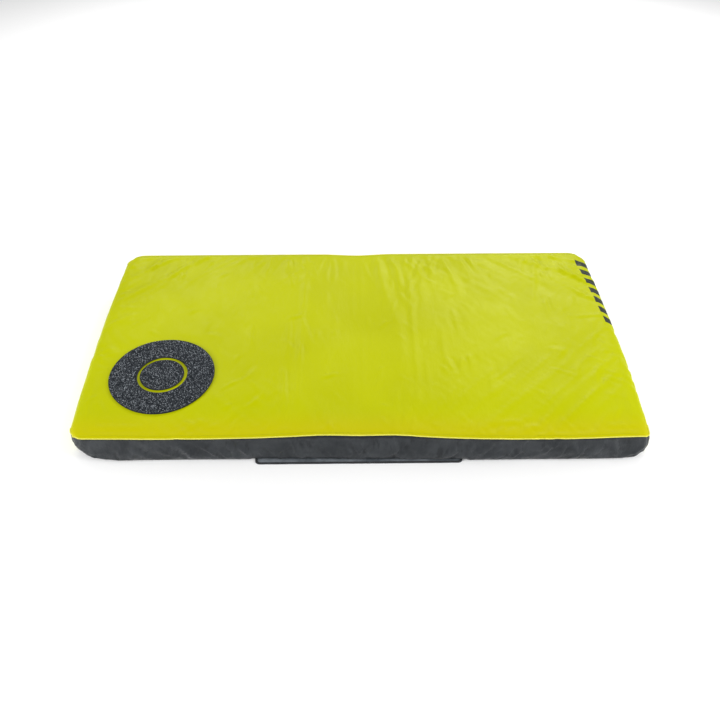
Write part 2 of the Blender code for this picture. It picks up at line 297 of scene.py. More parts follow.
def edge_lines(low, high, step, seam_lines):
    """Lines from low to high, with closer ones beside both ends."""
    inner_low = low + seam_lines[-1]
    inner_high = high - seam_lines[-1]
    count = int(round((inner_high - inner_low) / step))
    inner = np.linspace(inner_low, inner_high, count + 1)[1:-1]
    first = [low + d for d in seam_lines]
    last = [high - d for d in reversed(seam_lines)]
    return np.array(first + list(inner) + last)


def x_lines(step, fold_step, seam_lines):
    """Lines from one end to the other, symmetric about the fold, with one on the fold."""
    count = int(round(FOLD_ZONE / fold_step))
    inner = np.linspace(0.0, FOLD_ZONE, count + 1)
    reach = END - seam_lines[-1] - FOLD_ZONE
    middle = np.linspace(FOLD_ZONE, FOLD_ZONE + reach, int(round(reach / step)) + 1)[1:]
    outer = [END - d for d in reversed(seam_lines[:-1])]
    right = np.concatenate([inner, middle, outer])
    return np.concatenate([-right[:0:-1], right])


class Shell:
    """The cover's points on a grid: top, walls round the outline, and base."""

    def __init__(self, xs, ys, ts):
        self.xs = xs
        self.ys = ys
        self.ts = np.array(ts)
        self.x, self.y = np.meshgrid(xs, ys, indexing="ij")
        self.top = top_surface(self.x, self.y)
        self.base = base_surface(self.x, self.y)
        last_x = len(xs) - 1
        last_y = len(ys) - 1
        front = [(i, 0) for i in range(last_x)]
        right = [(last_x, j) for j in range(last_y)]
        back = [(i, last_y) for i in range(last_x, 0, -1)]
        left = [(0, j) for j in range(last_y, 0, -1)]
        self.loop = np.array(front + right + back + left)
        self.loop_x = xs[self.loop[:, 0]]
        self.loop_y = ys[self.loop[:, 1]]
        self.loop_run = run_along(np.stack([self.loop_x, self.loop_y], -1))
        column_x = self.loop_x[:, None]
        column_y = self.loop_y[:, None]
        self.wall = wall_surface(column_x, column_y, self.ts[None, :])
        self.wall[:, 0] = self.top[self.loop[:, 0], self.loop[:, 1]]
        self.wall[:, -1] = self.base[self.loop[:, 0], self.loop[:, 1]]


# ---------------------------------------------------------------- slack from cloth simulation

SIM_STEP = 0.0105
SIM_SEAM_LINES = (0.0, 0.006)
SIM_WALL_LINES = 9
SIM_FRAMES = 26
SIM_CAP = 0.0042
SIM_GROW = -0.011
SIM_FOAM_SHARE = (0.9985, 0.997, 0.96)
FOLD_SLACK = 0.15
FOLD_SLACK_REACH = 0.20


def grid_quads(ids):
    """The quads of a 2-D array of vertex numbers."""
    a = ids[:-1, :-1].ravel()
    b = ids[1:, :-1].ravel()
    c = ids[1:, 1:].ravel()
    d = ids[:-1, 1:].ravel()
    return np.stack([a, b, c, d], -1)


def plain_mesh(name, points, quads):
    mesh = bpy.data.meshes.new(name)
    mesh.from_pydata(points.tolist(), [], quads.tolist())
    mesh.update()
    item = bpy.data.objects.new(name, mesh)
    bpy.context.scene.collection.objects.link(item)
    return item


def slack_grid(shell):
    """The shell's top and walls as one mesh, and the numbers of the walls' points."""
    nx, ny = shell.x.shape
    count = len(shell.loop)
    rows = len(shell.ts)
    top_ids = np.arange(nx * ny).reshape(nx, ny)
    wall_ids = np.empty((count, rows), int)
    wall_ids[:, 0] = top_ids[shell.loop[:, 0], shell.loop[:, 1]]
    wall_ids[:, 1:] = nx * ny + np.arange(count * (rows - 1)).reshape(count, rows - 1)
    closed = np.concatenate([wall_ids, wall_ids[:1]])
    points = np.concatenate([shell.top.reshape(-1, 3), shell.wall[:, 1:].reshape(-1, 3)])
    quads = np.concatenate([grid_quads(top_ids), grid_quads(closed)[:, ::-1]])
    return points, quads, wall_ids


def add_foam_collision(foam):
    foam.modifiers.new("collision", "COLLISION")
    foam.collision.thickness_outer = 0.001
    foam.collision.cloth_friction = 12


def add_cloth(cloth, pinned):
    """Make a mesh act as coated nylon, held at its pinned points."""
    pins = cloth.vertex_groups.new(name="pins")
    pins.add(sorted(pinned), 1.0, "REPLACE")
    step = cloth.modifiers.new("cloth", "CLOTH")
    settings = step.settings
    settings.quality = 6
    settings.mass = 0.25
    settings.tension_stiffness = 25
    settings.compression_stiffness = 25
    settings.shear_stiffness = 8
    settings.bending_stiffness = 0.35
    settings.shrink_min = SIM_GROW
    settings.vertex_group_mass = "pins"
    settings.effector_weights.gravity = 0.55
    settings.use_pressure = True
    settings.uniform_pressure_force = 0.12
    step.collision_settings.distance_min = 0.001
    step.collision_settings.collision_quality = 2
    step.collision_settings.use_self_collision = False


def simulated_slack(shell):
    """Lay a slightly large cover over the foam, and return how far its points settle."""
    points, quads, wall_ids = slack_grid(shell)
    cloth = plain_mesh("slack_cloth", points, quads)
    centre = np.array([0.0, MIDDLE, TOP / 2])
    inner = centre + (points - centre) * np.array(SIM_FOAM_SHARE)
    foam = plain_mesh("slack_foam", inner, quads)
    add_foam_collision(foam)
    back = np.isclose(shell.loop_y, BACK)
    add_cloth(cloth, set(wall_ids[:, -1].tolist()) | set(wall_ids[back].ravel().tolist()))
    scene = bpy.context.scene
    for number in range(1, SIM_FRAMES + 1):
        scene.frame_set(number)
    settled = cloth.evaluated_get(bpy.context.evaluated_depsgraph_get()).to_mesh()
    found = np.empty(len(points) * 3)
    settled.vertices.foreach_get("co", found)
    move = found.reshape(-1, 3) - points
    scene.frame_set(1)
    for item in (cloth, foam):
        bpy.data.objects.remove(item, do_unlink=True)
    length = np.linalg.norm(move, axis=1, keepdims=True)
    move = move * np.minimum(1.0, SIM_CAP / np.maximum(length, 1e-9))
    top_count = shell.x.size
    return move[:top_count].reshape(*shell.x.shape, 3), move[wall_ids]


def spread_grid(field, from_a, from_b, to_a, to_b):
    """A field on one grid, read on a finer one."""
    half = np.stack([np.interp(to_a, from_a, field[:, j]) for j in range(len(from_b))], 1)
    return np.stack([np.interp(to_b, from_b, half[i]) for i in range(len(to_a))], 0)


def add_slack(shell):
    """Give the fine shell the slack that settles on a coarser one."""
    coarse = Shell(
        x_lines(SIM_STEP, SIM_STEP, SIM_SEAM_LINES),
        edge_lines(FRONT, BACK, SIM_STEP, SIM_SEAM_LINES),
        np.linspace(0, 1, SIM_WALL_LINES),
    )
    top_move, wall_move = simulated_slack(coarse)
    from_fold = smooth((np.abs(shell.x) - FOLD_ZONE) / FOLD_SLACK_REACH)
    calm = carpet_calm(shell.x, shell.y) * mix(FOLD_SLACK, 1.0, from_fold)
    for axis in range(3):
        shell.top[..., axis] += calm * spread_grid(
            top_move[..., axis], coarse.xs, coarse.ys, shell.xs, shell.ys
        )
        shell.wall[..., axis] += spread_grid(
            wall_move[..., axis], coarse.loop_run, coarse.ts, shell.loop_run, shell.ts
        )
    join_edges(shell)


def join_edges(shell):
    """Let the walls' first and last rows meet the top and the base exactly."""
    shell.wall[:, 0] = shell.top[shell.loop[:, 0], shell.loop[:, 1]]
    shell.wall[:, -1] = shell.base[shell.loop[:, 0], shell.loop[:, 1]]


# ---------------------------------------------------------------- folds

# Each fold on the top runs from one point to another: x, y, x, y, width, height
FOLD_NARROW = 0.88
FOLD_TALL = 1.40
TOP_FOLDS = (
    (0.050, 0.290, 0.078, 0.040, 0.014, 0.0022),
    (0.070, 0.100, 0.100, -0.200, 0.022, 0.0012),
    (0.085, 0.290, 0.110, 0.150, 0.010, 0.0014),
    (0.150, 0.290, 0.135, 0.020, 0.012, 0.0013),
    (0.180, 0.290, 0.186, 0.190, 0.008, 0.0010),
    (0.220, 0.290, 0.238, 0.100, 0.009, 0.0017),
    (0.255, 0.290, 0.275, 0.200, 0.008, 0.0009),
    (0.290, 0.290, 0.285, 0.215, 0.009, 0.0008),
    (0.430, 0.270, 0.405, 0.030, 0.009, 0.0015),
    (0.560, 0.250, 0.440, 0.285, 0.010, 0.0016),
    (0.566, 0.160, 0.465, 0.262, 0.009, 0.0020),
    (0.568, 0.090, 0.490, 0.160, 0.009, 0.0013),
    (-0.205, 0.290, -0.230, 0.180, 0.010, 0.0013),
    (-0.175, 0.290, -0.170, 0.150, 0.009, 0.0010),
    (-0.120, 0.290, -0.115, 0.190, 0.009, 0.0007),
    (-0.285, 0.290, -0.300, 0.220, 0.010, 0.0006),
    (-0.360, 0.290, -0.420, 0.230, 0.010, 0.0012),
    (-0.450, 0.290, -0.520, 0.215, 0.009, 0.0014),
    (-0.555, 0.100, -0.470, 0.210, 0.010, 0.0017),
    (-0.566, 0.010, -0.490, 0.068, 0.009, 0.0016),
    (-0.160, 0.050, -0.150, -0.120, 0.008, 0.0014),
    (-0.150, -0.100, -0.165, -0.290, 0.007, 0.0018),
    (-0.240, 0.020, -0.232, -0.080, 0.007, 0.0013),
    (-0.250, -0.160, -0.205, -0.110, 0.007, 0.0013),
    (-0.228, -0.150, -0.190, -0.200, 0.006, 0.0012),
    (-0.225, -0.230, -0.190, -0.180, 0.006, 0.0012),
    (-0.120, 0.030, -0.100, -0.060, 0.007, 0.0013),
    (-0.130, -0.040, -0.118, -0.110, 0.006, 0.0011),
    (0.190, -0.085, 0.205, -0.150, 0.006, 0.0014),
    (0.222, -0.080, 0.214, -0.150, 0.006, 0.0012),
    (0.225, 0.080, 0.222, -0.040, 0.007, 0.0009),
    (0.405, -0.060, 0.460, -0.085, 0.008, 0.0008),
    (0.510, -0.110, 0.480, -0.200, 0.007, 0.0012),
    (0.285, -0.120, 0.270, -0.220, 0.009, 0.0008),
)
CREASE_SEED = 17
TOP_WAVE = 0.45 * MM
TOP_WAVE_SIZE = 0.16
WALL_FOLDS = ((120, 11, 4.6 * MM, 1.0), (330, 12, 2.8 * MM, 0.5))
WALL_WAVE = 0.6 * MM
BACK_CALM = 0.06
END_CALM = 0.45
CARPET_X = (ring_low.x + ring_high.x) / 2 + 0.003
CARPET_Y = (ring_low.y + ring_high.y) / 2
CARPET_SHRINK = 0.952
CARPET_RADIUS = CARPET_SHRINK * (ring_high.x - ring_low.x) / 2
DISC_RADIUS = CARPET_SHRINK * (disc_high.x - disc_low.x) / 2


def carpet_calm(x, y):
    """0 under the stiff carpet patch and 1 away from it."""
    away = np.hypot(x - CARPET_X, y - CARPET_Y)
    return smooth((away - CARPET_RADIUS - 0.004) / 0.03)


def fold_height(x, y, fold, number):
    """One fold: a rounded ridge with a shallow dip beside it, on a slightly bent line."""
    x0, y0, x1, y1, width, height = fold
    length = math.hypot(x1 - x0, y1 - y0)
    run_x = (x1 - x0) / length
    run_y = (y1 - y0) / length
    along = ((x - x0) * run_x + (y - y0) * run_y) / length
    off = (x - x0) * -run_y + (y - y0) * run_x
    bend = 0.05 * length * np.sin(math.pi * along + number) * math.sin(1.7 * number)
    off = off - bend - 0.12 * width * np.sin(9 * along + 2 * number)
    spread = width * (0.75 + 0.5 * np.clip(along, 0, 1))
    fade = smooth(along / 0.18) * smooth((1 - along) / 0.55)
    ridge = np.exp(-(np.abs(off / spread) ** 1.6))
    dip = 0.55 * bell((off - 1.7 * spread) / (1.2 * spread))
    return height * fade * (ridge - dip)


def back_creases(random):
    """Creases that fan out of the back seam."""
    for _ in range(70):
        x = random.uniform(-0.54, 0.54)
        length = random.uniform(0.04, 0.17)
        lean = random.normal(0.0, 0.25) + 0.35 * x
        y = BACK - random.uniform(0.004, 0.02)
        width = random.uniform(0.0035, 0.0070)
        height = random.uniform(0.0007, 0.0019)
        yield x, y, x + lean * length, y - length, width, height


def middle_creases(random):
    """Crumples at random over the top, most of them running front to back."""
    for _ in range(150):
        x = random.uniform(-0.53, 0.53)
        y = random.uniform(FRONT + 0.03, BACK - 0.06)
        length = random.uniform(0.02, 0.08)
        angle = random.normal(math.pi / 2, 0.55)
        width = random.uniform(0.0030, 0.0065)
        height = random.uniform(0.0005, 0.0015)
        yield x, y, x + length * math.cos(angle), y - length * math.sin(angle), width, height


def end_creases(random):
    """Creases that run inwards from both ends."""
    for _ in range(34):
        y = random.uniform(FRONT + 0.05, BACK - 0.02)
        side = random.choice((-1, 1))
        x = side * (END - random.uniform(0.004, 0.02))
        length = random.uniform(0.03, 0.10)
        lean = random.normal(0.25, 0.35)
        width = random.uniform(0.0035, 0.0065)
        height = random.uniform(0.0004, 0.0010)
        yield x, y, x - side * length, y + lean * length, width, height


def front_creases(random):
    """Short puckers along the front seam."""
    for _ in range(60):
        x = random.uniform(-0.52, 0.52)
        y = FRONT + random.uniform(0.006, 0.014)
        length = random.uniform(0.015, 0.05)
        lean = random.normal(0.0, 0.6)
        width = random.uniform(0.0030, 0.0055)
        height = random.uniform(0.0003, 0.0007)
        yield x, y, x + lean * length, y + length, width, height


def small_creases(seed):
    """All the seeded creases, always drawn in the same order."""
    random = np.random.default_rng(seed)
    found = []
    for creases in (back_creases, middle_creases, end_creases, front_creases):
        found += creases(random)
    return found


def top_folds(x, y):
    """The height of all the top's folds and creases, fading out at its edges and at the fold."""
    folds = [(*fold[:4], FOLD_NARROW * fold[4], FOLD_TALL * fold[5]) for fold in TOP_FOLDS]
    folds += small_creases(CREASE_SEED)
    total = np.zeros_like(x)
    for number, fold in enumerate(folds):
        reach = 4 * fold[4]
        near = (
            (x > min(fold[0], fold[2]) - reach)
            & (x < max(fold[0], fold[2]) + reach)
            & (y > min(fold[1], fold[3]) - reach)
            & (y < max(fold[1], fold[3]) + reach)
        )
        total[near] += fold_height(x[near], y[near], fold, number)
    away = smooth(from_end(x) / 0.03) * smooth(from_long_side(y) / 0.008)
    near_fold = smooth((np.abs(x) - 0.004) / 0.05)
    return total * away * near_fold * carpet_calm(x, y)


def waviness(x, y, size, seed):
    """Smooth, repeatable unevenness from a few crossed waves."""
    random = np.random.default_rng(seed)
    total = np.zeros(np.broadcast(x, y).shape)
    for _ in range(14):
        angle = random.uniform(0, math.pi)
        wave = random.uniform(0.6, 1.6) * size
        phase = random.uniform(0, 2 * math.pi)
        total = total + np.sin(
            2 * math.pi * (x * math.cos(angle) + y * math.sin(angle)) / wave + phase
        )
    return total / 14**0.5


def wall_folds(run, t, count, seed, height, scale):
    """Slanting tension folds on a wall, given its run along the outline and t down it."""
    random = np.random.default_rng(seed)
    total = np.zeros(np.broadcast(run, t).shape)
    longest = float(np.max(run))
    for _ in range(count):
        place = random.uniform(0.0, longest)
        slant = random.choice((-1, 1)) * random.uniform(0.015, 0.075)
        width = scale * random.uniform(0.004, 0.009)
        middle = random.uniform(0.25, 0.75)
        size = random.uniform(0.4, 1.0) * height
        off = run - place - slant * (t - middle)
        ridge = bell(off / width)
        dip = 0.5 * bell((off - 1.8 * width) / (1.4 * width))
        total = total + size * (ridge - dip) * bell((t - middle) / 0.34)
    return total


def outward(shell):
    """The plan direction in which each of the outline's points faces."""
    ahead = np.roll(shell.wall, -1, axis=0) - np.roll(shell.wall, 1, axis=0)
    flat = np.stack([ahead[..., 1], -ahead[..., 0]], -1)
    return flat / np.maximum(np.linalg.norm(flat, axis=-1, keepdims=True), 1e-9)


def add_folds(shell):
    """Fold and crease the top and the walls, less at the back, where the zip has to lie flat."""
    shell.top[..., 2] += top_folds(shell.x, shell.y)
    to_edge = np.minimum(from_end(shell.x), from_long_side(shell.y))
    calm = carpet_calm(shell.x, shell.y) * smooth(to_edge / 0.05)
    shell.top[..., 2] += TOP_WAVE * calm * waviness(shell.x, shell.y, TOP_WAVE_SIZE, 3)
    run = shell.loop_run[:, None]
    t = shell.ts[None, :]
    middle = np.sin(np.pi * t) ** 0.7
    at_end = smooth((np.abs(shell.loop_x) - (END - 0.03)) / 0.03)
    quiet = mix(1.0, BACK_CALM, backness(shell.loop_y)) * mix(1.0, END_CALM, at_end)
    push = sum(wall_folds(run, t, *settings) for settings in WALL_FOLDS)
    push = push + WALL_WAVE * waviness(run, 0.06 * t, 0.09, 5)
    shell.wall[..., :2] += (push * middle * quiet[:, None])[..., None] * outward(shell)
    join_edges(shell)


# ---------------------------------------------------------------- pieces cut from the shell

UV_NAME = "cloth"


class Patchwork:
    """Faces with cloth coordinates, gathered into one mesh."""

    def __init__(self, name):
        self.name = name
        self.points = []
        self.cloth = []
        self.faces = []
        self.shades = []
        self.count = 0

    def add(self, points, cloth, faces, shade=0.0):
        """Any points (n, 3), their cloth coordinates (n, 2) and faces as rows of numbers."""
        self.faces += (np.asarray(faces) + self.count).tolist()
        self.points.append(points)
        self.cloth.append(cloth)
        self.shades.append(np.broadcast_to(shade, (len(points),)))
        self.count += len(points)

    def add_grid(self, points, cloth, flip=False):
        shape = points.shape[:2]
        quads = grid_quads(np.arange(shape[0] * shape[1]).reshape(shape))
        cloth = np.broadcast_to(cloth, (*shape, 2))
        self.add(points.reshape(-1, 3), cloth.reshape(-1, 2), quads[:, ::-1] if flip else quads)

    def build(self, material, thickness=0.0, weld=True, smooth_shade=True):
        mesh = bpy.data.meshes.new(self.name)
        mesh.from_pydata(np.concatenate(self.points).tolist(), [], self.faces)
        mesh.update()
        item = bpy.data.objects.new(self.name, mesh)
        bpy.context.scene.collection.objects.link(item)
        layer = mesh.uv_layers.new(name=UV_NAME)
        corners = np.empty(len(mesh.loops), int)
        mesh.loops.foreach_get("vertex_index", corners)
        cloth = np.concatenate(self.cloth)
        layer.data.foreach_set("uv", cloth[corners].astype(np.float32).ravel())
        shades = np.concatenate(self.shades)
        if np.any(shades):
            attribute = mesh.attributes.new("shade", "FLOAT", "POINT")
            attribute.data.foreach_set("value", shades.astype(np.float32))
        if weld:
            welder = bmesh.new()
            welder.from_mesh(mesh)
            bmesh.ops.remove_doubles(welder, verts=welder.verts[:], dist=1e-6)
            welder.to_mesh(mesh)
            welder.free()
        if thickness:
            thicken = item.modifiers.new("thicken", "SOLIDIFY")
            thicken.thickness = thickness
            thicken.offset = -1
            thicken.use_even_offset = False
            apply_modifiers(item)
        if smooth_shade:
            item.data.shade_smooth()
        item.data.materials.append(material)
        return item


def apply_modifiers(item):
    """Turn the evaluated mesh into the object's own."""
    graph = bpy.context.evaluated_depsgraph_get()
    final = bpy.data.meshes.new_from_object(item.evaluated_get(graph), depsgraph=graph)
    item.modifiers.clear()
    old = item.data
    item.data = final
    bpy.data.meshes.remove(old)


def wall_range(shell, place_name):
    """The outline's columns that belong to one panel, in order."""
    x, y = shell.loop_x, shell.loop_y
    count = len(x)
    low_y = FRONT + WRAP
    high_y = BACK - WRAP
    at_low = int(np.argmin(np.abs(shell.ys - low_y)))
    at_high = int(np.argmin(np.abs(shell.ys - high_y)))
    last_x = len(shell.xs) - 1
    last_y = len(shell.ys) - 1
    right_start = last_x
    back_start = right_start + last_y
    left_start = back_start + last_x
    ranges = {
        "front": range(left_start + last_y - at_low - count, right_start + at_low + 1),
        "right": range(right_start + at_low, right_start + at_high + 1),
        "back": range(right_start + at_high, left_start + last_y - at_high + 1),
        "left": range(left_start + last_y - at_high, left_start + last_y - at_low + 1),
    }
    return np.array(ranges[place_name]) % count


def wall_cloth(shell, columns):
    """Cloth coordinates of a wall: along the outline, and down from the top seam at 0."""
    run = run_along(np.stack([shell.loop_x[columns], shell.loop_y[columns]], -1))
    down = shell.ts * (TOP - SEAM_DROP)
    return paired(run[:, None], -down[None, :])


def end_cloth(shell, columns, side):
    """Cloth coordinates of an end: the top panel's own, carried on over the edge."""
    down = shell.ts * (TOP - SEAM_DROP)
    return paired(side * (END + down[None, :]), shell.loop_y[columns][:, None])


def make_top_cover(shell, material):
    """The yellow panel: the top, and its drops over both ends."""
    patches = Patchwork("top_cover")
    patches.add_grid(shell.top, np.stack([shell.x, shell.y], -1))
    for side_name, side in SIDES:
        columns = wall_range(shell, side_name)
        patches.add_grid(shell.wall[columns], end_cloth(shell, columns, side), flip=True)
    piece = patches.build(material, thickness=0.0008)
    across_fold(piece)
    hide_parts("top_cover_right", "top_cover_left")


def make_long_wall(shell, place_name, material):
    """The front or back wall, which goes round two corners onto the ends."""
    columns = wall_range(shell, place_name)
    patches = Patchwork(f"{place_name}_wall_cover")
    patches.add_grid(shell.wall[columns], wall_cloth(shell, columns), flip=True)
    piece = patches.build(material, thickness=0.0008)
    across_fold(piece)
    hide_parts(f"{place_name}_wall_right", f"{place_name}_wall_left")


def make_base_cover(shell, material):
    patches = Patchwork("base_cover")
    patches.add_grid(shell.base, np.stack([shell.x, shell.y], -1), flip=True)
    piece = patches.build(material, thickness=0.0006)
    across_fold(piece)
    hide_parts("base_cover_right", "base_cover_left")


def across_fold(piece):
    """Cloth that crosses the fold: its placing is baked into its points, and it goes on neither half.
    """
    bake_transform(piece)


# ---------------------------------------------------------------- thread and stitches

STITCH_PITCH = 0.0038
STITCH_LENGTH = 0.0028
THREAD_RADIUS = 0.00030
SEAM_EDGE = 0.00115


def repeat_faces(count, points_each, faces):
    """The same faces on each of many small solids whose points are stored one after another."""
    starts = np.arange(count)[:, None, None] * points_each
    return (starts + np.array(faces)[None]).reshape(-1, 4)


def add_stitches(patches, path, facing, lift=0.00022):
    """Stitches along a path of close points, standing off the surface along facing."""
    run = run_along(path)
    count = max(1, int(run[-1] / STITCH_PITCH))
    starts = (np.arange(count) + 0.5) * run[-1] / count - STITCH_LENGTH / 2
    shares = (0.0, 0.2, 0.8, 1.0)
    widths = (0.35, 1.0, 1.0, 0.35)
    facing = np.broadcast_to(facing, path.shape)
    points = []
    for share, width in zip(shares, widths):
        at = starts + share * STITCH_LENGTH
        centre = np.stack([np.interp(at, run, path[:, i]) for i in range(3)], -1)
        up = unit(np.stack([np.interp(at, run, facing[:, i]) for i in range(3)], -1))
        ahead = np.stack([np.interp(at + 1e-4, run, path[:, i]) for i in range(3)], -1)
        side = unit(np.cross(unit(ahead - centre), up))
        rise = lift * (1.0 if width == 1.0 else -0.6)
        reach = THREAD_RADIUS * width
        points += [
            centre + up * (rise + reach),
            centre + up * rise + side * reach,
            centre + up * (rise - reach),
            centre + up * rise - side * reach,
        ]
    points = np.stack(points, 1)
    ring = []
    for section in range(3):
        for corner in range(4):
            following = (corner + 1) % 4
            first = section * 4
            last = first + 4
            ring.append((first + corner, first + following, last + following, last + corner))
    ring += [(3, 2, 1, 0), (12, 13, 14, 15)]
    flat = points.reshape(-1, 3)
    cloth = np.stack([flat[:, 0], flat[:, 1] + flat[:, 2]], -1)
    patches.add(flat, cloth, repeat_faces(count, 16, ring))


def grid_value(lines_a, lines_b, field, a, b):
    """A grid's points, read between its lines."""
    a, b = np.broadcast_arrays(a, b)
    i = np.clip(np.searchsorted(lines_a, a) - 1, 0, len(lines_a) - 2)
    j = np.clip(np.searchsorted(lines_b, b) - 1, 0, len(lines_b) - 2)
    s = ((a - lines_a[i]) / (lines_a[i + 1] - lines_a[i]))[..., None]
    r = ((b - lines_b[j]) / (lines_b[j + 1] - lines_b[j]))[..., None]
    low = field[i, j] * (1 - s) + field[i + 1, j] * s
    high = field[i, j + 1] * (1 - s) + field[i + 1, j + 1] * s
    return low * (1 - r) + high * r


def top_at(shell, x, y):
    return grid_value(shell.xs, shell.ys, shell.top, x, y)


def make_top_stitching(shell, thread):
    """A line of topstitching on the top panel beside both long seams."""
    patches = Patchwork("top_stitching")
    x = np.linspace(-END + 0.022, END - 0.022, 900)
    for y in (FRONT + STITCH_PLACE, BACK - STITCH_PLACE):
        path = top_at(shell, x, np.full_like(x, y))
        add_stitches(patches, path, (0.0, 0.0, 1.0))
    piece = patches.build(thread, weld=False)
    across_fold(piece)


def make_seam_edges(shell, material):
    """The rolled edge of the top panel, standing out along both long seams and their corners."""
    patches = Patchwork("top_seam_edge")
    facing = outward(shell)[:, 0]
    turn = np.linspace(0, 2 * math.pi, 11)
    out = 0.0002 + SEAM_EDGE * np.cos(turn)
    up = 0.0003 + SEAM_EDGE * np.sin(turn)
    for row, place_name in enumerate(("front", "back")):
        columns = wall_range(shell, place_name)
        path = shell.wall[columns, 0]
        x = path[:, 0, None] + facing[columns, 0, None] * out
        y = path[:, 1, None] + facing[columns, 1, None] * out
        z = path[:, 2, None] + up
        cloth = paired(run_along(path)[:, None], SEAM_EDGE * turn[None] + row)
        patches.add_grid(np.stack([x, y, z], -1), cloth, flip=True)
    piece = patches.build(material)
    across_fold(piece)


def make_corner_stitching(shell, thread):
    """A line of topstitching beside each of the four upright seams on the ends."""
    for side_name, side in SIDES:
        patches = Patchwork(f"end_stitching_{side_name}")
        columns = wall_range(shell, side_name)
        for column in (columns[1], columns[-2]):
            path = shell.wall[column, 1:-1]
            add_stitches(patches, path, (float(side), 0.0, 0.0))
        piece = patches.build(thread, weld=False)
        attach(piece, f"{side_name}_half")


# ---------------------------------------------------------------- foam

FOAM_EDGE = 0.003
FOAM_FOLD_RADIUS = 0.004
FOAM_FOLD_GAP = 0.0008
CORE_INSET = 0.012
CORE_RADII = (0.075, 0.052)
FIRM_INSET = 0.014
FIRM_RADII = (0.032, 0.040)
FIRM_LOWERED = 0.0012


def plan_ring(low_x, high_x, low_y, high_y, radii, steps=10):
    """Points round a rectangle with its own radius at each corner, from the front left one."""
    corners = (
        (low_x, low_y, 1, 1, 180),
        (high_x, low_y, -1, 1, 270),
        (high_x, high_y, -1, -1, 0),
        (low_x, high_y, 1, -1, 90),
    )
    points = []
    for (x, y, to_x, to_y, start), radius in zip(corners, radii):
        for i in range(steps + 1):
            angle = math.radians(start + 90 * i / steps)
            across = x + to_x * radius + radius * math.cos(angle)
            along = y + to_y * radius + radius * math.sin(angle)
            points.append((across, along))
    return np.array(points)


def foam_rings(side, low_z, high_z, inset, front_radius, back_radius):
    """A foam block's outline at a few heights, drawn in at its top and bottom edges."""
    layers = (
        (low_z, FOAM_EDGE),
        (low_z + 0.3 * FOAM_EDGE, 0.3 * FOAM_EDGE),
        (low_z + FOAM_EDGE, 0.0),
        ((low_z + high_z) / 2, -0.0006),
        (high_z - FOAM_EDGE, 0.0),
        (high_z - 0.3 * FOAM_EDGE, 0.3 * FOAM_EDGE),
        (high_z, FOAM_EDGE),
    )
    radii = (FOAM_FOLD_RADIUS, front_radius, back_radius, FOAM_FOLD_RADIUS)
    rings = []
    for z, off in layers:
        ring = plan_ring(
            FOAM_FOLD_GAP + max(off, 0),
            END - inset - off,
            FRONT + inset + off,
            BACK - inset - off,
            radii,
        )
        ring = ring if side > 0 else ring * np.array([-1.0, 1.0])
        rings.append(np.column_stack([ring, np.full(len(ring), z)]))
    return np.stack(rings)


def make_foam(name, side_name, side, rings, material):
    """A foam block: straight at the fold, rounded at its outer corners, soft at its edges."""
    patches = Patchwork(name)
    closed = np.concatenate([rings, rings[:, :1]], axis=1)
    cloth = np.stack([closed[..., 0] + closed[..., 1], closed[..., 2]], -1)
    patches.add_grid(closed, cloth, flip=side > 0)
    for level in (0, -1):
        face = list(range(rings.shape[1]))
        if (level == 0) == (side > 0):
            face = face[::-1]
        patches.add(rings[level], rings[level][:, :2], [face])
    piece = patches.build(material)
    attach(piece, f"{side_name}_half")
    return piece


def make_foams(soft, firm):
    core_low, core_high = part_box("foam_core_right")
    firm_low, firm_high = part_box("firm_foam_right")
    firm_top = firm_high.z - FIRM_LOWERED
    for side_name, side in SIDES:
        rings = foam_rings(side, core_low.z, core_high.z, CORE_INSET, *CORE_RADII)
        core = make_foam(f"soft_foam_{side_name}", side_name, side, rings, soft)
        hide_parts(f"foam_core_{side_name}")
        rings = foam_rings(side, firm_low.z, firm_top, FIRM_INSET, *FIRM_RADII)
        layer = make_foam(f"firm_layer_{side_name}", side_name, side, rings, firm)
        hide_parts(f"firm_foam_{side_name}")


# ---------------------------------------------------------------- carpet patch

TUFT_PITCH = 0.0021
TUFT_HEIGHT = 0.0022
TUFT_LEAN = 0.0011
TUFT_HALF = 0.0010
TUFT_STEPS = ((0.0, 1.0), (0.65, 0.85), (1.0, 0.30))
CARPET_BACKING = 0.0019
CARPET_GAP = 0.008
CARPET_SEED = 40
RIM_RADIUS = 0.0013


def carpet_body(patches, shell, inner, outer):
    """The carpet's backing: a flat plate with a slightly uneven top, over the cover."""
    rings = 10
    around = 96
    radius = np.linspace(inner, outer, rings + 1)
    angle = np.linspace(0, 2 * math.pi, around + 1)
    x = CARPET_X + radius[:, None] * np.cos(angle[None])
    y = CARPET_Y + radius[:, None] * np.sin(angle[None])
    floor = top_at(shell, x, y)
    low = floor + np.array([0.0, 0.0, 0.0005])
    high = floor + np.array([0.0, 0.0, 0.0005 + CARPET_BACKING])
    high[..., 2] += 0.00015 * waviness(x, y, 0.012, 8)
    cloth = np.stack([x, y], -1)
    patches.add_grid(high, cloth)
    patches.add_grid(low, cloth, flip=True)
    for edge, flip in ((0, False), (rings, True)):
        wall = np.stack([low[edge], high[edge]])
        patches.add_grid(wall, np.stack([cloth[edge], cloth[edge]]), flip=flip)


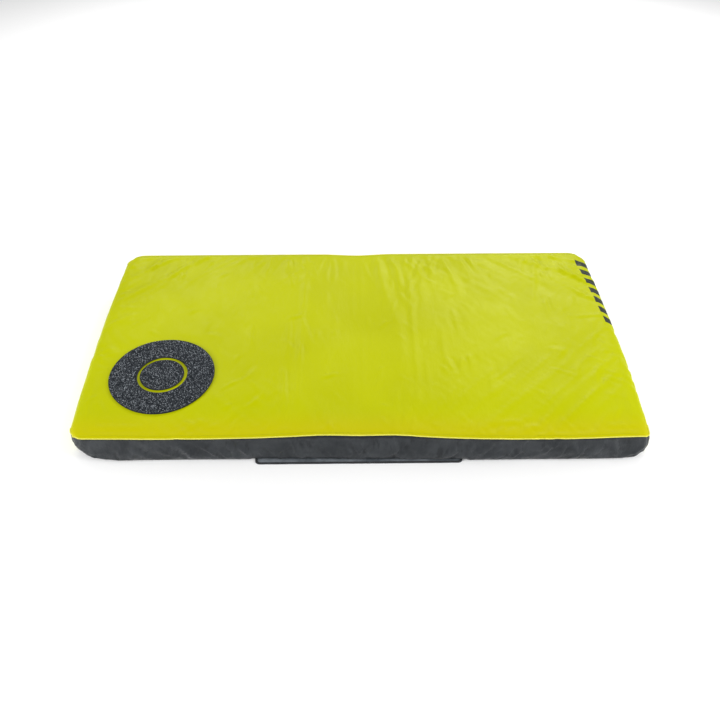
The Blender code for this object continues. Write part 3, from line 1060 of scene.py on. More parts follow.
def carpet_tufts(patches, shell, inner, outer, seed):
    """Short cut pile: leaning tufts on a jittered grid, each with its own shade."""
    random = np.random.default_rng(seed)
    reach = int(outer / TUFT_PITCH) + 1
    line = np.arange(-reach, reach + 1) * TUFT_PITCH
    x, y = np.meshgrid(line, line, indexing="ij")
    x = (x + random.uniform(-0.45, 0.45, x.shape) * TUFT_PITCH).ravel()
    y = (y + random.uniform(-0.45, 0.45, y.shape) * TUFT_PITCH).ravel()
    away = np.hypot(x, y)
    keep = (away < outer - 0.0012) & (away > inner + 0.0012 * (inner > 0.001))
    x, y = x[keep] + CARPET_X, y[keep] + CARPET_Y
    count = len(x)
    root = top_at(shell, x, y) + np.array([0.0, 0.0, CARPET_BACKING])
    lean = random.uniform(-1, 1, (count, 2)) * TUFT_LEAN
    tall = random.uniform(0.6, 1.1, count) * TUFT_HEIGHT
    turn = random.uniform(0, 2 * math.pi, count)
    wide = random.uniform(0.8, 1.25, count) * TUFT_HALF
    points = []
    for height, width in TUFT_STEPS:
        for corner in range(4):
            angle = turn + corner * math.pi / 2
            across = lean[:, 0] * height + wide * width * np.cos(angle)
            along = lean[:, 1] * height + wide * width * np.sin(angle)
            points.append(root + np.stack([across, along, tall * height], -1))
    points = np.stack(points, 1)
    ring = [
        (first + c, first + (c + 1) % 4, first + 4 + (c + 1) % 4, first + 4 + c)
        for first in (0, 4)
        for c in range(4)
    ]
    ring.append((8, 9, 10, 11))
    flat = points.reshape(-1, 3)
    shade = np.repeat(np.clip(random.beta(0.8, 1.5, count), 0.02, 1), 12)
    patches.add(flat, flat[:, :2], repeat_faces(count, 12, ring), shade)


def carpet_rim(patches, shell, radius):
    """The overlocked edge: a thin round cord with a thread's ripple."""
    around = 240
    section = 8
    angle = np.linspace(0, 2 * math.pi, around + 1)[:, None]
    turn = np.linspace(0, 2 * math.pi, section + 1)[None]
    ripple = 1 + 0.10 * np.cos(angle * around / 2)
    reach = radius + RIM_RADIUS * ripple * np.cos(turn)
    x = CARPET_X + reach * np.cos(angle)
    y = CARPET_Y + reach * np.sin(angle)
    middle = top_at(shell, CARPET_X + radius * np.cos(angle), CARPET_Y + radius * np.sin(angle))
    z = middle[..., 2] + 0.0018 + 1.15 * RIM_RADIUS * ripple * np.sin(turn)
    points = np.stack([x, y, z], -1)
    patches.add_grid(points, np.stack([x, y], -1))


def make_carpet(shell, pile, edging_look):
    """The ring and the disc inside it, each with its pile and its overlocked edges."""
    ring_inner = DISC_RADIUS + CARPET_GAP
    ring_edges = (ring_inner + RIM_RADIUS, CARPET_RADIUS - RIM_RADIUS)
    parts = (
        ("carpet_ring", ring_inner, CARPET_RADIUS, ring_edges),
        ("carpet_disc", 0.0005, DISC_RADIUS, (DISC_RADIUS - RIM_RADIUS,)),
    )
    for number, (name, inner, outer, edges) in enumerate(parts):
        body = Patchwork(f"{name}_pile")
        carpet_body(body, shell, inner, outer)
        carpet_tufts(body, shell, inner, outer, CARPET_SEED + number)
        piece = body.build(pile, weld=False)
        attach(piece, "left_half")
        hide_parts(name)
        cord = Patchwork(f"{name}_edging")
        for radius in edges:
            carpet_rim(cord, shell, radius)
        edging = cord.build(edging_look)
        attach(edging, "left_half")


# ---------------------------------------------------------------- flap across the fold

FLAP_CORNER = 0.010
FLAP_FRONT = flap_low.y - 0.0070
FLAP_THICK = 0.0009
FLAP_WAVE = 0.00014
FLAP_STEP = 0.006
FLAP_SIDE_LINES = (0.0, 0.001, 0.0024, 0.0045, 0.0075)
HEM_WIDTH = 0.0050
HEM_SECTION = (
    (HEM_WIDTH, 0.00125),
    (HEM_WIDTH * 0.5, 0.00135),
    (0.0008, 0.00130),
    (0.0, 0.00095),
    (0.0, 0.00045),
    (0.0008, 0.00010),
    (HEM_WIDTH, 0.00010),
)


def flap_edge(x):
    """How far back the front edge is cut away, beside the flap's two front corners."""
    from_side = FLAP_HALF - np.abs(x - FLAP_MIDDLE)
    share = np.clip(1 - from_side / FLAP_CORNER, 0, 1)
    return FLAP_CORNER * (1 - np.sqrt(1 - share**2 * 0.96))


def flap_points(x, share, level):
    """Points on the flap: share is 0 at the front edge and 1 at the back."""
    front = FLAP_FRONT + flap_edge(x)
    y = mix(front, flap_high.y, share)
    return np.stack(np.broadcast_arrays(x, y, level), -1)


def make_flap(material, binding, thread):
    """The loose flap: a thin panel with a bound edge and a line of stitches along its front."""
    xs = edge_lines(flap_low.x + 0.0004, flap_high.x - 0.0004, FLAP_STEP, FLAP_SIDE_LINES)
    x = xs[:, None]
    share = np.linspace(0, 1, 36)[None, :]
    high = flap_points(x, share, FLAP_THICK)
    high[..., 2] += FLAP_WAVE * waviness(x, share * 0.15, 0.05, 21)
    patches = Patchwork("under_flap_panel")
    patches.add_grid(high, high[..., :2])
    panel = patches.build(material, thickness=0.0007)
    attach(panel, "flap")
    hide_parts("under_flap")
    hem = flap_hem(binding)
    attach(hem, "flap")
    seam = Patchwork("under_flap_stitching")
    inside = 0.75 * HEM_WIDTH
    line = np.linspace(flap_low.x + inside, flap_high.x - inside, 400)
    path = flap_points(line, 0.0, FLAP_THICK + 0.0006)
    path[:, 1] = np.maximum(path[:, 1] + inside, FLAP_FRONT + inside)
    add_stitches(seam, path, (0.0, 0.0, 1.0), lift=0.0001)
    stitching = seam.build(thread, weld=False)
    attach(stitching, "flap")


def flap_outline():
    """The flap's two sides and rounded front, from its back left corner to its back right one."""
    left_x = FLAP_MIDDLE - FLAP_HALF
    side_y = np.linspace(flap_high.y, FLAP_FRONT + FLAP_CORNER, 26)[:-1]
    points = [(left_x, y) for y in side_y]
    for angle in np.linspace(0, math.pi / 2, 7):
        x = left_x + FLAP_CORNER * (1 - math.cos(angle))
        points.append((x, FLAP_FRONT + FLAP_CORNER * (1 - math.sin(angle))))
    front_x = np.linspace(left_x + FLAP_CORNER, FLAP_MIDDLE, 40)[1:]
    points += [(x, FLAP_FRONT) for x in front_x]
    outline = np.array(points)
    other = outline[::-1][1:] * np.array([-1, 1]) + np.array([2 * FLAP_MIDDLE, 0])
    return np.concatenate([outline, other])


def flap_hem(binding):
    """Binding tape folded over the flap's front edge and its two sides."""
    outline = flap_outline()
    ahead = np.gradient(outline, axis=0)
    inward = unit(np.stack([-ahead[:, 1], ahead[:, 0]], -1))
    rings = []
    for across, level in HEM_SECTION:
        plan = outline + inward * across
        rings.append(np.column_stack([plan, np.full(len(plan), level)]))
    around = np.array([across + 4 * level for across, level in HEM_SECTION])
    cloth = paired(run_along(outline)[:, None], around[None])
    patches = Patchwork("under_flap_binding")
    patches.add_grid(np.stack(rings, 1), cloth)
    return patches.build(binding)


NUB_PITCH = 0.0025
NUB_HEIGHT = 0.0002


def make_fastener(name, node, facing, body, material):
    """A strip of hook or loop tape with its nubby face up (1) or down (-1)."""
    low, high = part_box(node)
    xs = np.linspace(low.x, high.x, 41)
    ys = np.linspace(low.y, high.y, 177)
    x, y = np.meshgrid(xs, ys, indexing="ij")
    inside = (np.abs(x - (low.x + high.x) / 2) < (high.x - low.x) / 2 - 0.0015).astype(float)
    rows = np.cos(2 * math.pi * x / NUB_PITCH) * np.cos(2 * math.pi * y / NUB_PITCH)
    nubs = NUB_HEIGHT * inside * (0.5 + 0.5 * rows)
    flat_z = low.z if facing > 0 else high.z
    face_z = high.z - NUB_HEIGHT if facing > 0 else low.z + NUB_HEIGHT
    face = np.stack([x, y, face_z + facing * nubs], -1)
    back = np.stack([x, y, np.full_like(x, flat_z)], -1)
    cloth = np.stack([x, y], -1)
    patches = Patchwork(name)
    patches.add_grid(face, cloth, flip=facing < 0)
    patches.add_grid(back, cloth, flip=facing > 0)
    piece = patches.build(material, weld=False)
    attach(piece, body)
    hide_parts(node)


# ---------------------------------------------------------------- carry handles

HANDLE_LIFT = 0.020
HANDLE_DROOP = math.radians(40)
WEBBING_SECTION = (
    (-1.0, 0.0),
    (-0.965, 0.85),
    (-0.90, 1.0),
    (-0.45, 0.92),
    (0.0, 0.96),
    (0.45, 0.92),
    (0.90, 1.0),
    (0.965, 0.85),
    (1.0, 0.0),
    (0.965, -0.85),
    (0.90, -1.0),
    (0.0, -0.95),
    (-0.90, -1.0),
    (-0.965, -0.85),
    (-1.0, 0.0),
)


def handle_ring(along, centre_x, span, wall_y, level, half_wide, half_thick):
    """The webbing's cross-section at one place along the handle, and its cloth coordinates."""
    lift = math.sin(math.pi * along) ** 2
    slope = HANDLE_LIFT * math.pi * math.sin(2 * math.pi * along) / span
    tilt = HANDLE_DROOP * lift
    centre = np.array(
        [
            centre_x + (along - 0.5) * span,
            wall_y + HANDLE_LIFT * lift * math.cos(HANDLE_DROOP),
            level - HANDLE_LIFT * lift * math.sin(HANDLE_DROOP),
        ]
    )
    wide = np.array([0.0, math.sin(tilt), math.cos(tilt)])
    run = unit(np.array([1.0, slope * math.cos(tilt), -slope * math.sin(tilt)]))
    thick = np.cross(wide, run)
    points = [centre + wide * a * half_wide + thick * b * half_thick for a, b in WEBBING_SECTION]
    cloth = [(along * span, a * half_wide + 0.0005 * b) for a, b in WEBBING_SECTION]
    return points, cloth


def make_handle(side_name, webbing_look):
    """One strap in two lengths, each bending from its sewn end to the part that swings."""
    node = f"handle_{side_name}"
    low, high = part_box(node)
    anchor_low, anchor_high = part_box(f"handle_anchor_{side_name}_inner")
    centre_x = (low.x + high.x) / 2
    span = high.x - low.x
    wall_y = (anchor_low.y + anchor_high.y) / 2
    level = (anchor_low.z + anchor_high.z) / 2
    half_wide = (anchor_high.z - anchor_low.z) / 2 - 0.0002
    half_thick = (anchor_high.y - anchor_low.y) / 2 - 0.0001
    for half_name, start, end in (("low", 0.0, 0.5), ("high", 0.5, 1.0)):
        points = []
        cloth = []
        for along in np.linspace(start, end, 34):
            ring, flat = handle_ring(along, centre_x, span, wall_y, level, half_wide, half_thick)
            points.append(ring)
            cloth.append(flat)
        points = np.array(points)
        cloth = np.array(cloth)
        patches = Patchwork(f"{node}_strap_{half_name}")
        patches.add_grid(points, cloth)
        for row, flip in ((0, False), (-1, True)):
            face = list(range(len(WEBBING_SECTION) - 1))
            face = face[::-1] if flip else face
            patches.add(points[row][:-1], cloth[row][:-1], [face])
        piece = patches.build(webbing_look)
        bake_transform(piece)
        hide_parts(node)


def box_stitch_path(low, high, inset, y):
    """The corners of a box stitch and its cross, in order."""
    x0, x1 = low.x + inset, high.x - inset
    z0, z1 = low.z + inset, high.z - inset
    corners = [(x0, z0), (x1, z0), (x1, z1), (x0, z1), (x0, z0), (x1, z1)]
    path = []
    for (ax, az), (bx, bz) in zip(corners, corners[1:]):
        for share in np.linspace(0, 1, 12):
            path.append((mix(ax, bx, share), y, mix(az, bz, share)))
    return np.array(path)


def make_anchor(node, body, webbing_look, thread):
    """The handle's sewn end: webbing with a turned-under tip and a box stitch."""
    low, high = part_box(node)
    xs = np.linspace(low.x, high.x, 22)
    zs = np.linspace(low.z, high.z, 14)
    x, z = np.meshgrid(xs, zs, indexing="ij")
    to_side = np.minimum(z - low.z, high.z - z)
    to_tip = np.minimum(x - low.x, high.x - x)
    round_off = 0.0007 * np.clip(1 - to_side / 0.0012, 0, 1) ** 2
    pressed = 0.00025 * np.exp(-(((np.minimum(to_side, to_tip) - 0.0030) / 0.0011) ** 2))
    face = np.stack([x, high.y - 0.0001 - round_off - pressed, z], -1)
    back = np.stack([x, np.full_like(x, low.y + 0.0001), z], -1)
    cloth = np.stack([x, z], -1)
    patches = Patchwork(f"{node}_webbing")
    patches.add_grid(face, cloth, flip=True)
    patches.add_grid(back, cloth)
    for edge in (0, -1):
        wall = np.stack([face[edge], back[edge]])
        patches.add_grid(wall, np.stack([cloth[edge], cloth[edge]]), flip=edge != 0)
        wall = np.stack([face[:, edge], back[:, edge]])
        patches.add_grid(wall, np.stack([cloth[:, edge], cloth[:, edge]]), flip=edge == 0)
    piece = patches.build(webbing_look)
    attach(piece, body)
    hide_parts(node)
    seam = Patchwork(f"{node}_stitching")
    path = box_stitch_path(low, high, 0.0030, high.y - 0.0001)
    add_stitches(seam, path, (0.0, 1.0, 0.0), lift=0.0001)
    stitching = seam.build(thread, weld=False)
    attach(stitching, body)


def make_handles(webbing_look, thread):
    for side_name, _ in SIDES:
        make_handle(side_name, webbing_look)
        for end_name in ("inner", "outer"):
            node = f"handle_anchor_{side_name}_{end_name}"
            make_anchor(node, f"{side_name}_half", webbing_look, thread)


# ---------------------------------------------------------------- zip

TOOTH_PITCH = 0.0024
TOOTH_HALF = 0.00082
TOOTH_DEPTH = 0.00048
TOOTH_SECTION = ((-1, -0.5), (1, -0.5), (1, 0.5), (0.5, 1), (-0.5, 1), (-1, 0.5))
TAPE_ROWS = ((-1.0, 0.0002), (-0.97, 0.0008), (-0.5, 0.0009), (-0.16, 0.0009), (0.0, 0.0006))
TAPE_ROWS += tuple((-across, off) for across, off in TAPE_ROWS[-2::-1])


def zip_x_lines(reach):
    """Lines along the zip, closer together where it crosses the fold."""
    inner = np.linspace(0, FOLD_ZONE, 11)
    outer = np.linspace(FOLD_ZONE, reach, 90)[1:]
    line = np.concatenate([inner, outer])
    return np.concatenate([-line[:0:-1], line])


def make_zip(tape_look, coil_look, thread):
    """The tape right across the back wall, its closed coil, and its two lines of stitches."""
    low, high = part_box("zip_tape_right")
    level = (low.z + high.z) / 2
    xs = zip_x_lines(high.x)
    half = (high.z - low.z) / 2
    points = np.array([[(x, low.y + d, level + a * half) for a, d in TAPE_ROWS] for x in xs])
    cloth = np.array([[(x, a * half) for a, _ in TAPE_ROWS] for x in xs])
    patches = Patchwork("zip_tape")
    patches.add_grid(points, cloth)
    tape = patches.build(tape_look, thickness=0.0004)
    across_fold(tape)
    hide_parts("zip_tape_right", "zip_tape_left")
    make_coil(high.x, low.y, level, coil_look)
    seam = Patchwork("zip_stitching")
    line = np.stack([xs, np.full_like(xs, low.y + 0.0009), np.full_like(xs, level)], -1)
    for side in (-1, 1):
        path = line + np.array([0.0, 0.0, side * 0.80 * half])
        add_stitches(seam, path, (0.0, 1.0, 0.0), lift=0.0)
    across_fold(seam.build(thread, weld=False))


def make_coil(reach, wall_y, level, look):
    """The closed coil: teeth from above and below in turn, each a small rounded bar."""
    count = int(2 * reach / TOOTH_PITCH)
    centre_x = -reach + (np.arange(count) + 0.5) * 2 * reach / count
    upper = np.where(np.arange(count) % 2 == 0, 1.0, -1.0)
    points = []
    for along in (-1, 1):
        for a, b in TOOTH_SECTION:
            x = centre_x + a * TOOTH_HALF
            y = wall_y + 0.00085 + b * TOOTH_DEPTH
            z = level + upper * 0.0007 + along * 0.0023
            points.append(np.stack(np.broadcast_arrays(x, y, z), -1))
    points = np.stack(points, 1)
    ring = [(i, (i + 1) % 6, 6 + (i + 1) % 6, 6 + i) for i in range(6)]
    ends = [(5, 4, 3, 2), (5, 2, 1, 0), (8, 9, 10, 11), (6, 7, 8, 11)]
    flat = points.reshape(-1, 3)
    patches = Patchwork("zip_coil")
    patches.add(flat, flat[:, (0, 2)], repeat_faces(count, 12, ring + ends))
    across_fold(patches.build(look, weld=False, smooth_shade=False))


# ---------------------------------------------------------------- materials


class Nodes:
    """A material's node tree, with short calls for the nodes used here."""

    def __init__(self, name, roughness, metallic=0.0):
        self.material = bpy.data.materials.new(name)
        self.material.use_nodes = True
        self.tree = self.material.node_tree
        self.shader = self.tree.nodes["Principled BSDF"]
        self.shader.inputs["Roughness"].default_value = roughness
        self.shader.inputs["Metallic"].default_value = metallic

    def put(self, kind, inputs=None, **settings):
        node = self.tree.nodes.new(kind)
        for key, value in settings.items():
            setattr(node, key, value)
        for key, value in (inputs or {}).items():
            if isinstance(value, bpy.types.NodeSocket):
                self.tree.links.new(value, node.inputs[key])
            else:
                node.inputs[key].default_value = value
        return node

    def cloth(self):
        return self.put("ShaderNodeUVMap", uv_map=UV_NAME).outputs["UV"]

    def split(self, vector):
        return self.put("ShaderNodeSeparateXYZ", {"Vector": vector}).outputs

    def math(self, operation, a, b=0.0):
        return self.put("ShaderNodeMath", {0: a, 1: b}, operation=operation).outputs[0]

    def noise(self, vector, scale, detail=3.0, roughness=0.5):
        inputs = {"Vector": vector, "Scale": scale, "Detail": detail, "Roughness": roughness}
        return self.put("ShaderNodeTexNoise", inputs).outputs["Fac"]

    def step(self, value, low, high, to_low=0.0, to_high=1.0):
        inputs = {"Value": value, "From Min": low, "From Max": high}
        inputs.update({"To Min": to_low, "To Max": to_high})
        node = self.put("ShaderNodeMapRange", inputs, interpolation_type="SMOOTHSTEP")
        return node.outputs["Result"]

    def blend(self, share, first, second):
        node = self.put("ShaderNodeMix", data_type="RGBA")
        for number, value in ((0, share), (6, first), (7, second)):
            socket = node.inputs[number]
            if isinstance(value, bpy.types.NodeSocket):
                self.tree.links.new(value, socket)
            elif isinstance(value, tuple):
                socket.default_value = (*value, 1.0)
            else:
                socket.default_value = value
        return node.outputs[2]

    def weave(self, vector, pitch):
        """Warp and weft threads: two sets of waves at right angles, the higher one showing."""
        bands = []
        for direction in ("X", "Y"):
            inputs = {"Vector": vector, "Scale": 0.31416 / pitch, "Distortion": 0.6}
            inputs.update({"Detail": 1.0, "Detail Scale": 2.0})
            node = self.put("ShaderNodeTexWave", inputs, bands_direction=direction)
            bands.append(node.outputs["Fac"])
        return self.math("MAXIMUM", *bands)

    def slanted(self, vector, angle, stretch):
        """The same coordinates turned by an angle and stretched along the new second axis."""
        inputs = {"Vector": vector, "Rotation": (0.0, 0.0, angle), "Scale": (1.0, 1.0 / stretch, 1.0)}
        return self.put("ShaderNodeMapping", inputs).outputs["Vector"]

    def bump(self, height, strength, distance):
        inputs = {"Height": height, "Strength": strength, "Distance": distance}
        return self.put("ShaderNodeBump", inputs).outputs["Normal"]

    def colour(self, value):
        self.tree.links.new(value, self.shader.inputs["Base Color"])

    def normal(self, value):
        self.tree.links.new(value, self.shader.inputs["Normal"])

    def roughness(self, value):
        self.tree.links.new(value, self.shader.inputs["Roughness"])

    def specular(self, level, tint=(1.0, 1.0, 1.0)):
        self.shader.inputs["Specular IOR Level"].default_value = level
        self.shader.inputs["Specular Tint"].default_value = (*tint, 1.0)


YELLOW_LIGHT = (0.436, 0.468, 0.0006)
YELLOW_DEEP = (0.412, 0.440, 0.0003)
YELLOW_WARM = (0.472, 0.428, 0.0020)
YELLOW_SCUFF = (0.48, 0.50, 0.012)
PRINT_DARK = (0.030, 0.036, 0.034)
GREY_LIGHT = (0.031, 0.034, 0.037)
GREY_DEEP = (0.009, 0.0105, 0.012)
GREY_DUST = (0.10, 0.105, 0.11)
# Painted shadow under the walls' top seam.
SEAM_SHADE = (0.0015, 0.0018, 0.0020)
BAR_COUNT = 7
BAR_FRONT = 0.020
BAR_BACK = 0.262
BAR_INNER = END - 0.015
BAR_WIDEN = 0.055
BAR_OUTER = END + 0.042
BAR_SLANT = 0.30
BAR_FILL = 0.60
BAR_SOFT = 0.03
BAR_EDGE = 0.0004


def bar_mask(nodes, cloth):
    """Plain slanted bars printed at the right end, from just inside its edge down the drop."""
    u, v, _ = nodes.split(cloth)
    slant = nodes.math("MULTIPLY", nodes.math("SUBTRACT", u, END), BAR_SLANT)
    pitch = (BAR_BACK - BAR_FRONT) / BAR_COUNT
    along = nodes.math("SUBTRACT", nodes.math("ADD", v, slant), BAR_FRONT)
    place = nodes.math("DIVIDE", along, pitch)
    inside = nodes.math("FRACT", place)
    starts = nodes.step(inside, 0.0, BAR_SOFT)
    ends = nodes.step(inside, BAR_FILL, BAR_FILL + BAR_SOFT, 1.0, 0.0)
    edge = nodes.math("MULTIPLY", starts, ends)
    after_first = nodes.math("GREATER_THAN", place, 0.0)
    before_last = nodes.math("LESS_THAN", place, float(BAR_COUNT))
    in_row = nodes.math("MULTIPLY", after_first, before_last)
    widened = nodes.math("ADD", u, nodes.math("MULTIPLY", v, BAR_WIDEN))
    past_inner = nodes.step(widened, BAR_INNER - BAR_EDGE, BAR_INNER + BAR_EDGE)
    before_outer = nodes.step(u, BAR_OUTER - BAR_EDGE, BAR_OUTER + BAR_EDGE, 1.0, 0.0)
    in_width = nodes.math("MULTIPLY", past_inner, before_outer)
    return nodes.math("MULTIPLY", edge, nodes.math("MULTIPLY", in_row, in_width))


def yellow_nylon():
    """Coated nylon: bright yellow-green, warmer towards the front, with a satin sheen."""
    nodes = Nodes("yellow_coated_nylon", 0.40)
    cloth = nodes.cloth()
    _, v, _ = nodes.split(cloth)
    broad = nodes.noise(cloth, 5.0, 2.0)
    tint = nodes.blend(nodes.step(broad, 0.35, 0.65), YELLOW_DEEP, YELLOW_LIGHT)
    front = nodes.step(v, FRONT + 0.005, FRONT + 0.075, 0.75, 0.0)
    tint = nodes.blend(front, tint, YELLOW_WARM)
    scuff = nodes.step(nodes.noise(cloth, 38.0, 6.0, 0.62), 0.58, 0.74, 0.0, 0.10)
    tint = nodes.blend(scuff, tint, YELLOW_SCUFF)
    nodes.colour(nodes.blend(bar_mask(nodes, cloth), tint, PRINT_DARK))
    nodes.roughness(nodes.step(nodes.noise(cloth, 22.0, 4.0), 0.3, 0.7, 0.36, 0.47))
    threads = nodes.weave(cloth, 0.0011)
    crinkle = nodes.noise(cloth, 240.0, 2.0)
    creases = nodes.noise(nodes.slanted(cloth, 0.12, 2.6), 85.0, 3.0, 0.62)
    crinkle = nodes.math("MULTIPLY", crinkle, 0.15)
    relief = nodes.math("ADD", nodes.math("MULTIPLY", threads, 0.06), crinkle)
    relief = nodes.math("ADD", relief, creases)
    nodes.normal(nodes.bump(relief, 0.5, 0.0013))
    nodes.specular(0.10, (1.0, 1.0, 0.10))
    return nodes.material


def grey_nylon(name, roughness=(0.34, 0.48), pitch=0.0014, tone=1.0, wear_and_crease_shade=0.5, seam=0.0):
    """Heavier coated nylon: dark blue-grey, with a coarser weave, painted crease shade and a painted
    shadow under a top seam.
    """
    deep = tuple(tone * c for c in GREY_DEEP)
    light = tuple(tone * c for c in GREY_LIGHT)
    nodes = Nodes(name, roughness[0])
    cloth = nodes.cloth()
    broad = nodes.noise(cloth, 17.0, 5.0, 0.6)
    tint = nodes.blend(nodes.step(broad, 0.28, 0.76), deep, light)
    dust = nodes.step(nodes.noise(cloth, 60.0, 6.0, 0.65), 0.60, 0.78, 0.0, 0.16)
    tint = nodes.blend(dust, tint, GREY_DUST)
    # Slanted streaks darkened towards a deeper grey: painted shade of the creases.
    crease_shade_streaks = nodes.noise(nodes.slanted(cloth, 0.5, 3.5), 75.0, 4.0, 0.6)
    shaded = tuple(0.55 * c for c in deep)
    tint = nodes.blend(nodes.step(crease_shade_streaks, 0.56, 0.68, 0.0, wear_and_crease_shade), tint, shaded)
    _, v, _ = nodes.split(cloth)
    # Darker in a band just under the top seam: a painted shadow.
    under_seam = nodes.step(v, -0.0075, -0.0025, 0.0, seam)
    nodes.colour(nodes.blend(under_seam, tint, SEAM_SHADE))
    nodes.roughness(nodes.step(nodes.noise(cloth, 30.0, 4.0), 0.3, 0.7, *roughness))
    threads = nodes.weave(cloth, pitch)
    first = nodes.noise(nodes.slanted(cloth, 0.45, 4.0), 120.0, 3.0, 0.6)
    second = nodes.noise(nodes.slanted(cloth, -0.60, 3.5), 90.0, 3.0, 0.6)
    creases = nodes.math("MAXIMUM", first, second)
    relief = nodes.math("ADD", nodes.math("MULTIPLY", threads, 0.08), creases)
    nodes.normal(nodes.bump(relief, 0.9, 0.0022))
    nodes.specular(0.40, (0.90, 0.95, 1.0))
    return nodes.material


def carpet_pile():
    """Cut pile: dark blue-grey tufts with pale ones among them."""
    nodes = Nodes("carpet_pile", 0.95)
    shade = nodes.put("ShaderNodeAttribute", attribute_name="shade").outputs["Fac"]
    base = nodes.blend(nodes.step(shade, 0.0, 0.35), (0.018, 0.022, 0.027), (0.080, 0.090, 0.102))
    tint = nodes.blend(nodes.step(shade, 0.32, 0.92), base, (0.36, 0.39, 0.42))
    fine = nodes.noise(nodes.cloth(), 700.0, 2.0)
    nodes.colour(nodes.blend(nodes.step(fine, 0.35, 0.65, 0.0, 0.35), tint, (0.012, 0.014, 0.017)))
    nodes.normal(nodes.bump(fine, 0.5, 0.0006))
    nodes.specular(0.12)
    return nodes.material


def thread_look(name, colour):
    """Twisted polyester thread."""
    nodes = Nodes(name, 0.6)
    fine = nodes.noise(nodes.cloth(), 2400.0, 2.0)
    deep = tuple(0.72 * c for c in colour)
    nodes.colour(nodes.blend(nodes.step(fine, 0.3, 0.7), deep, colour))
    nodes.specular(0.2)
    return nodes.material


def webbing(name, dark, light, pitch=0.0017, roughness=0.62):
    """Woven tape: short slanting ribs across its width."""
    nodes = Nodes(name, roughness)
    cloth = nodes.cloth()
    threads = nodes.weave(cloth, pitch)
    nodes.colour(nodes.blend(threads, dark, light))
    nodes.normal(nodes.bump(threads, 0.55, 0.0005))
    nodes.specular(0.25)
    return nodes.material


def foam(name, dark, light, cell):
    """Foam: small open or closed cells, as pits in the surface and darker points."""
    nodes = Nodes(name, 0.92)
    cloth = nodes.cloth()
    texture = nodes.put("ShaderNodeTexVoronoi", {"Vector": cloth, "Scale": 1 / cell})
    cells = texture.outputs["Distance"]
    nodes.colour(nodes.blend(nodes.step(cells, 0.1, 0.6), dark, light))
    nodes.normal(nodes.bump(cells, 0.4, 0.4 * cell))
    nodes.specular(0.1)
    return nodes.material


def fastener(name, dark, light):
    """Hook or loop tape: fine, matt and uneven."""
    nodes = Nodes(name, 0.8)
    fine = nodes.noise(nodes.cloth(), 900.0, 3.0)
    nodes.colour(nodes.blend(fine, dark, light))
    nodes.normal(nodes.bump(fine, 0.5, 0.0004))
    return nodes.material


def coil():
    """The zip's coil: smooth black plastic."""
    nodes = Nodes("coil_plastic", 0.26)
    fine = nodes.noise(nodes.cloth(), 300.0, 2.0)
    nodes.colour(nodes.blend(fine, (0.006, 0.006, 0.007), (0.012, 0.012, 0.013)))
    return nodes.material


def zip_metal():
    """Painted zinc: dark, satin, a little scuffed."""
    nodes = Nodes("slider_zinc", 0.36, 0.85)
    place = nodes.put("ShaderNodeTexCoord").outputs["Object"]
    wear_and_crease_shade = nodes.step(nodes.noise(place, 260.0, 4.0), 0.52, 0.70)
    nodes.colour(nodes.blend(wear_and_crease_shade, (0.10, 0.10, 0.105), (0.30, 0.30, 0.31)))
    nodes.roughness(nodes.step(nodes.noise(place, 500.0, 3.0), 0.3, 0.7, 0.30, 0.46))
    return nodes.material


# ---------------------------------------------------------------- stage


FLOOR_HALF = 30.0
FLOOR_LEVEL = -0.0002
WORLD_STRENGTH = 0.50
# Each light: its name, place, target, size and power in watts
LIGHTS = (
    ("key", (0.85, 2.1, 1.35), (0.1, 0.0, 0), (1.2, 0.6), 29),
    ("back_left", (-0.85, 2.1, 1.35), (-0.1, 0.0, 0), (0.7, 0.5), 13),
    ("left", (-2.3, -1.1, 0.95), (0, -0.1, 0), (0.8, 0.8), 42),
    ("right", (2.3, -1.1, 0.95), (0, -0.1, 0), (0.8, 0.8), 42),
    ("front", (0.3, -1.9, 2.3), (0, 0, 0), (1.1, 0.8), 14),
)


def make_stage():
    """A wide pale floor."""
    floor_mesh = bpy.data.meshes.new("floor")
    plan = ((-1, -1), (1, -1), (1, 1), (-1, 1))
    corners = [(FLOOR_HALF * x, FLOOR_HALF * y, FLOOR_LEVEL) for x, y in plan]
    floor_mesh.from_pydata(corners, [], [(0, 1, 2, 3)])
    floor = bpy.data.objects.new("floor", floor_mesh)
    bpy.context.scene.collection.objects.link(floor)
    nodes = Nodes("pale_floor", 0.85)
    nodes.shader.inputs["Base Color"].default_value = (0.97, 0.97, 0.97, 1.0)
    nodes.specular(0.1)
    floor_mesh.materials.append(nodes.material)


def area_light(name, place, target, size, power):
    data = bpy.data.lights.new(name, "AREA")
    data.shape = "RECTANGLE"
    data.size = size[0]
    data.size_y = size[1]
    data.energy = power
    item = bpy.data.objects.new(name, data)
    item.location = place
    aim = Vector(target) - Vector(place)
    item.rotation_euler = aim.to_track_quat("-Z", "Y").to_euler()
    bpy.context.scene.collection.objects.link(item)


def make_lights():
    world = bpy.data.worlds.new("studio")
    bpy.context.scene.world = world
    world.use_nodes = True
    background = world.node_tree.nodes["Background"]
    background.inputs["Color"].default_value = (1.0, 1.0, 1.0, 1.0)
    background.inputs["Strength"].default_value = WORLD_STRENGTH
    for light in LIGHTS:
        area_light(*light)


CAMERA_PLACE = (-0.0088, -1.2897, 1.2067)
CAMERA_PITCH = 43.62
CAMERA_YAW = -0.64
CAMERA_LENS = 38.24


def make_camera():
    data = bpy.data.cameras.new("camera")
    data.lens = CAMERA_LENS
    data.sensor_width = 36.0
    data.clip_end = 100
    item = bpy.data.objects.new("camera", data)
    item.location = CAMERA_PLACE
    item.rotation_euler = (math.radians(90 - CAMERA_PITCH), 0.0, math.radians(CAMERA_YAW))
    bpy.context.scene.collection.objects.link(item)
    bpy.context.scene.camera = item
    bpy.context.scene.view_settings.view_transform = "Standard"


# ---------------------------------------------------------------- build


make_camera()
make_stage()
make_lights()

shell = Shell(
    x_lines(COVER_STEP, FOLD_STEP, SEAM_LINES),
    edge_lines(FRONT, BACK, COVER_STEP, SEAM_LINES),
    WALL_LINES,
)
add_slack(shell)
add_folds(shell)

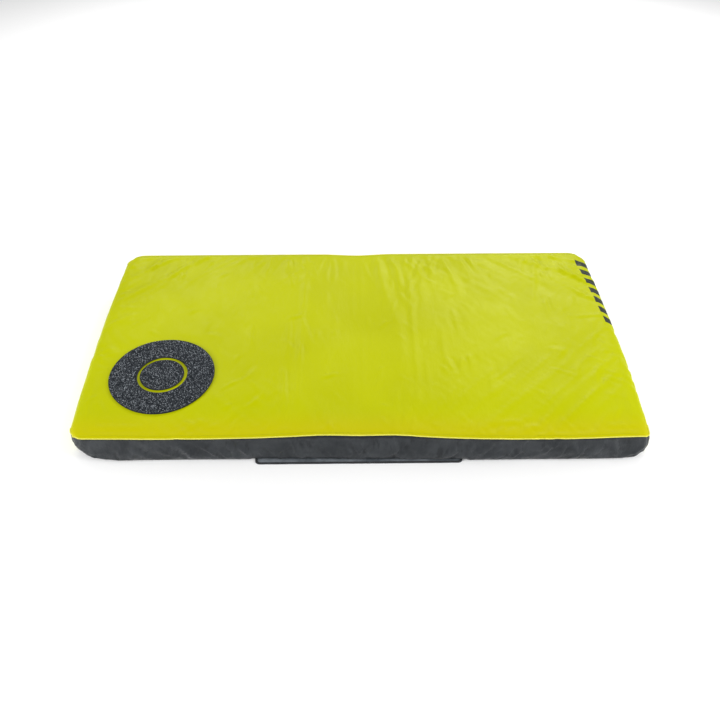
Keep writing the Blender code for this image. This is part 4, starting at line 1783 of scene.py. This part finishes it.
yellow = yellow_nylon()
grey = grey_nylon("grey_coated_nylon", wear_and_crease_shade=0.75, seam=0.85)
base_grey = grey_nylon("grey_base_nylon", (0.50, 0.62), 0.0018, 0.9, 0.15)
yellow_thread = thread_look("yellow_thread", (0.46, 0.47, 0.01))
grey_thread = thread_look("grey_thread", (0.085, 0.092, 0.098))
black_webbing = webbing("black_webbing", (0.010, 0.010, 0.011), (0.034, 0.035, 0.037))
dark_binding = webbing("dark_binding", (0.014, 0.015, 0.017), (0.040, 0.042, 0.045), 0.0010)
zip_cloth = webbing("zip_tape_cloth", (0.024, 0.026, 0.029), (0.050, 0.054, 0.058), 0.0010)

make_top_cover(shell, yellow)
make_long_wall(shell, "front", grey)
make_long_wall(shell, "back", grey)
make_base_cover(shell, base_grey)
make_top_stitching(shell, yellow_thread)
make_corner_stitching(shell, yellow_thread)
# The rolled edge is the top panel's yellow painted much brighter: a painted highlight along the
# seams.
rolled_edge_painted_highlight = webbing("rolled_edge_painted_highlight", (0.60, 0.57, 0.04), (0.82, 0.79, 0.12), 0.0009)
make_seam_edges(shell, rolled_edge_painted_highlight)
make_foams(
    foam("soft_foam_cells", (0.50, 0.48, 0.38), (0.72, 0.70, 0.60), 0.0016),
    foam("firm_foam_cells", (0.020, 0.021, 0.022), (0.050, 0.052, 0.055), 0.0008),
)
pile = carpet_pile()
carpet_edging = webbing("carpet_edging", (0.008, 0.009, 0.011), (0.030, 0.033, 0.038), 0.0012)
make_carpet(shell, pile, carpet_edging)
# The walls' grey made 7.5 times lighter for the flap: a painted sheen of its upward face catching the
# light.
flap_grey_painted_sheen = grey_nylon("flap_nylon_painted_sheen", (0.22, 0.34), 0.0014, 7.5, 0.2)
make_flap(flap_grey_painted_sheen, dark_binding, grey_thread)
hooks = fastener("hook_tape", (0.012, 0.012, 0.013), (0.035, 0.035, 0.037))
loops = fastener("loop_tape", (0.020, 0.020, 0.022), (0.060, 0.060, 0.064))
make_fastener("flap_hook_strip", "flap_hook_tape", 1, "flap", hooks)
make_fastener("base_loop_strip", "base_loop_tape", -1, "left_half", loops)
make_handles(black_webbing, grey_thread)
make_zip(zip_cloth, coil(), grey_thread)
zinc = zip_metal()
for side_name, _ in SIDES:
    for node in (f"zip_slider_{side_name}", f"zip_puller_{side_name}"):
        for material_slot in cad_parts[node].material_slots:
            material_slot.material = zinc
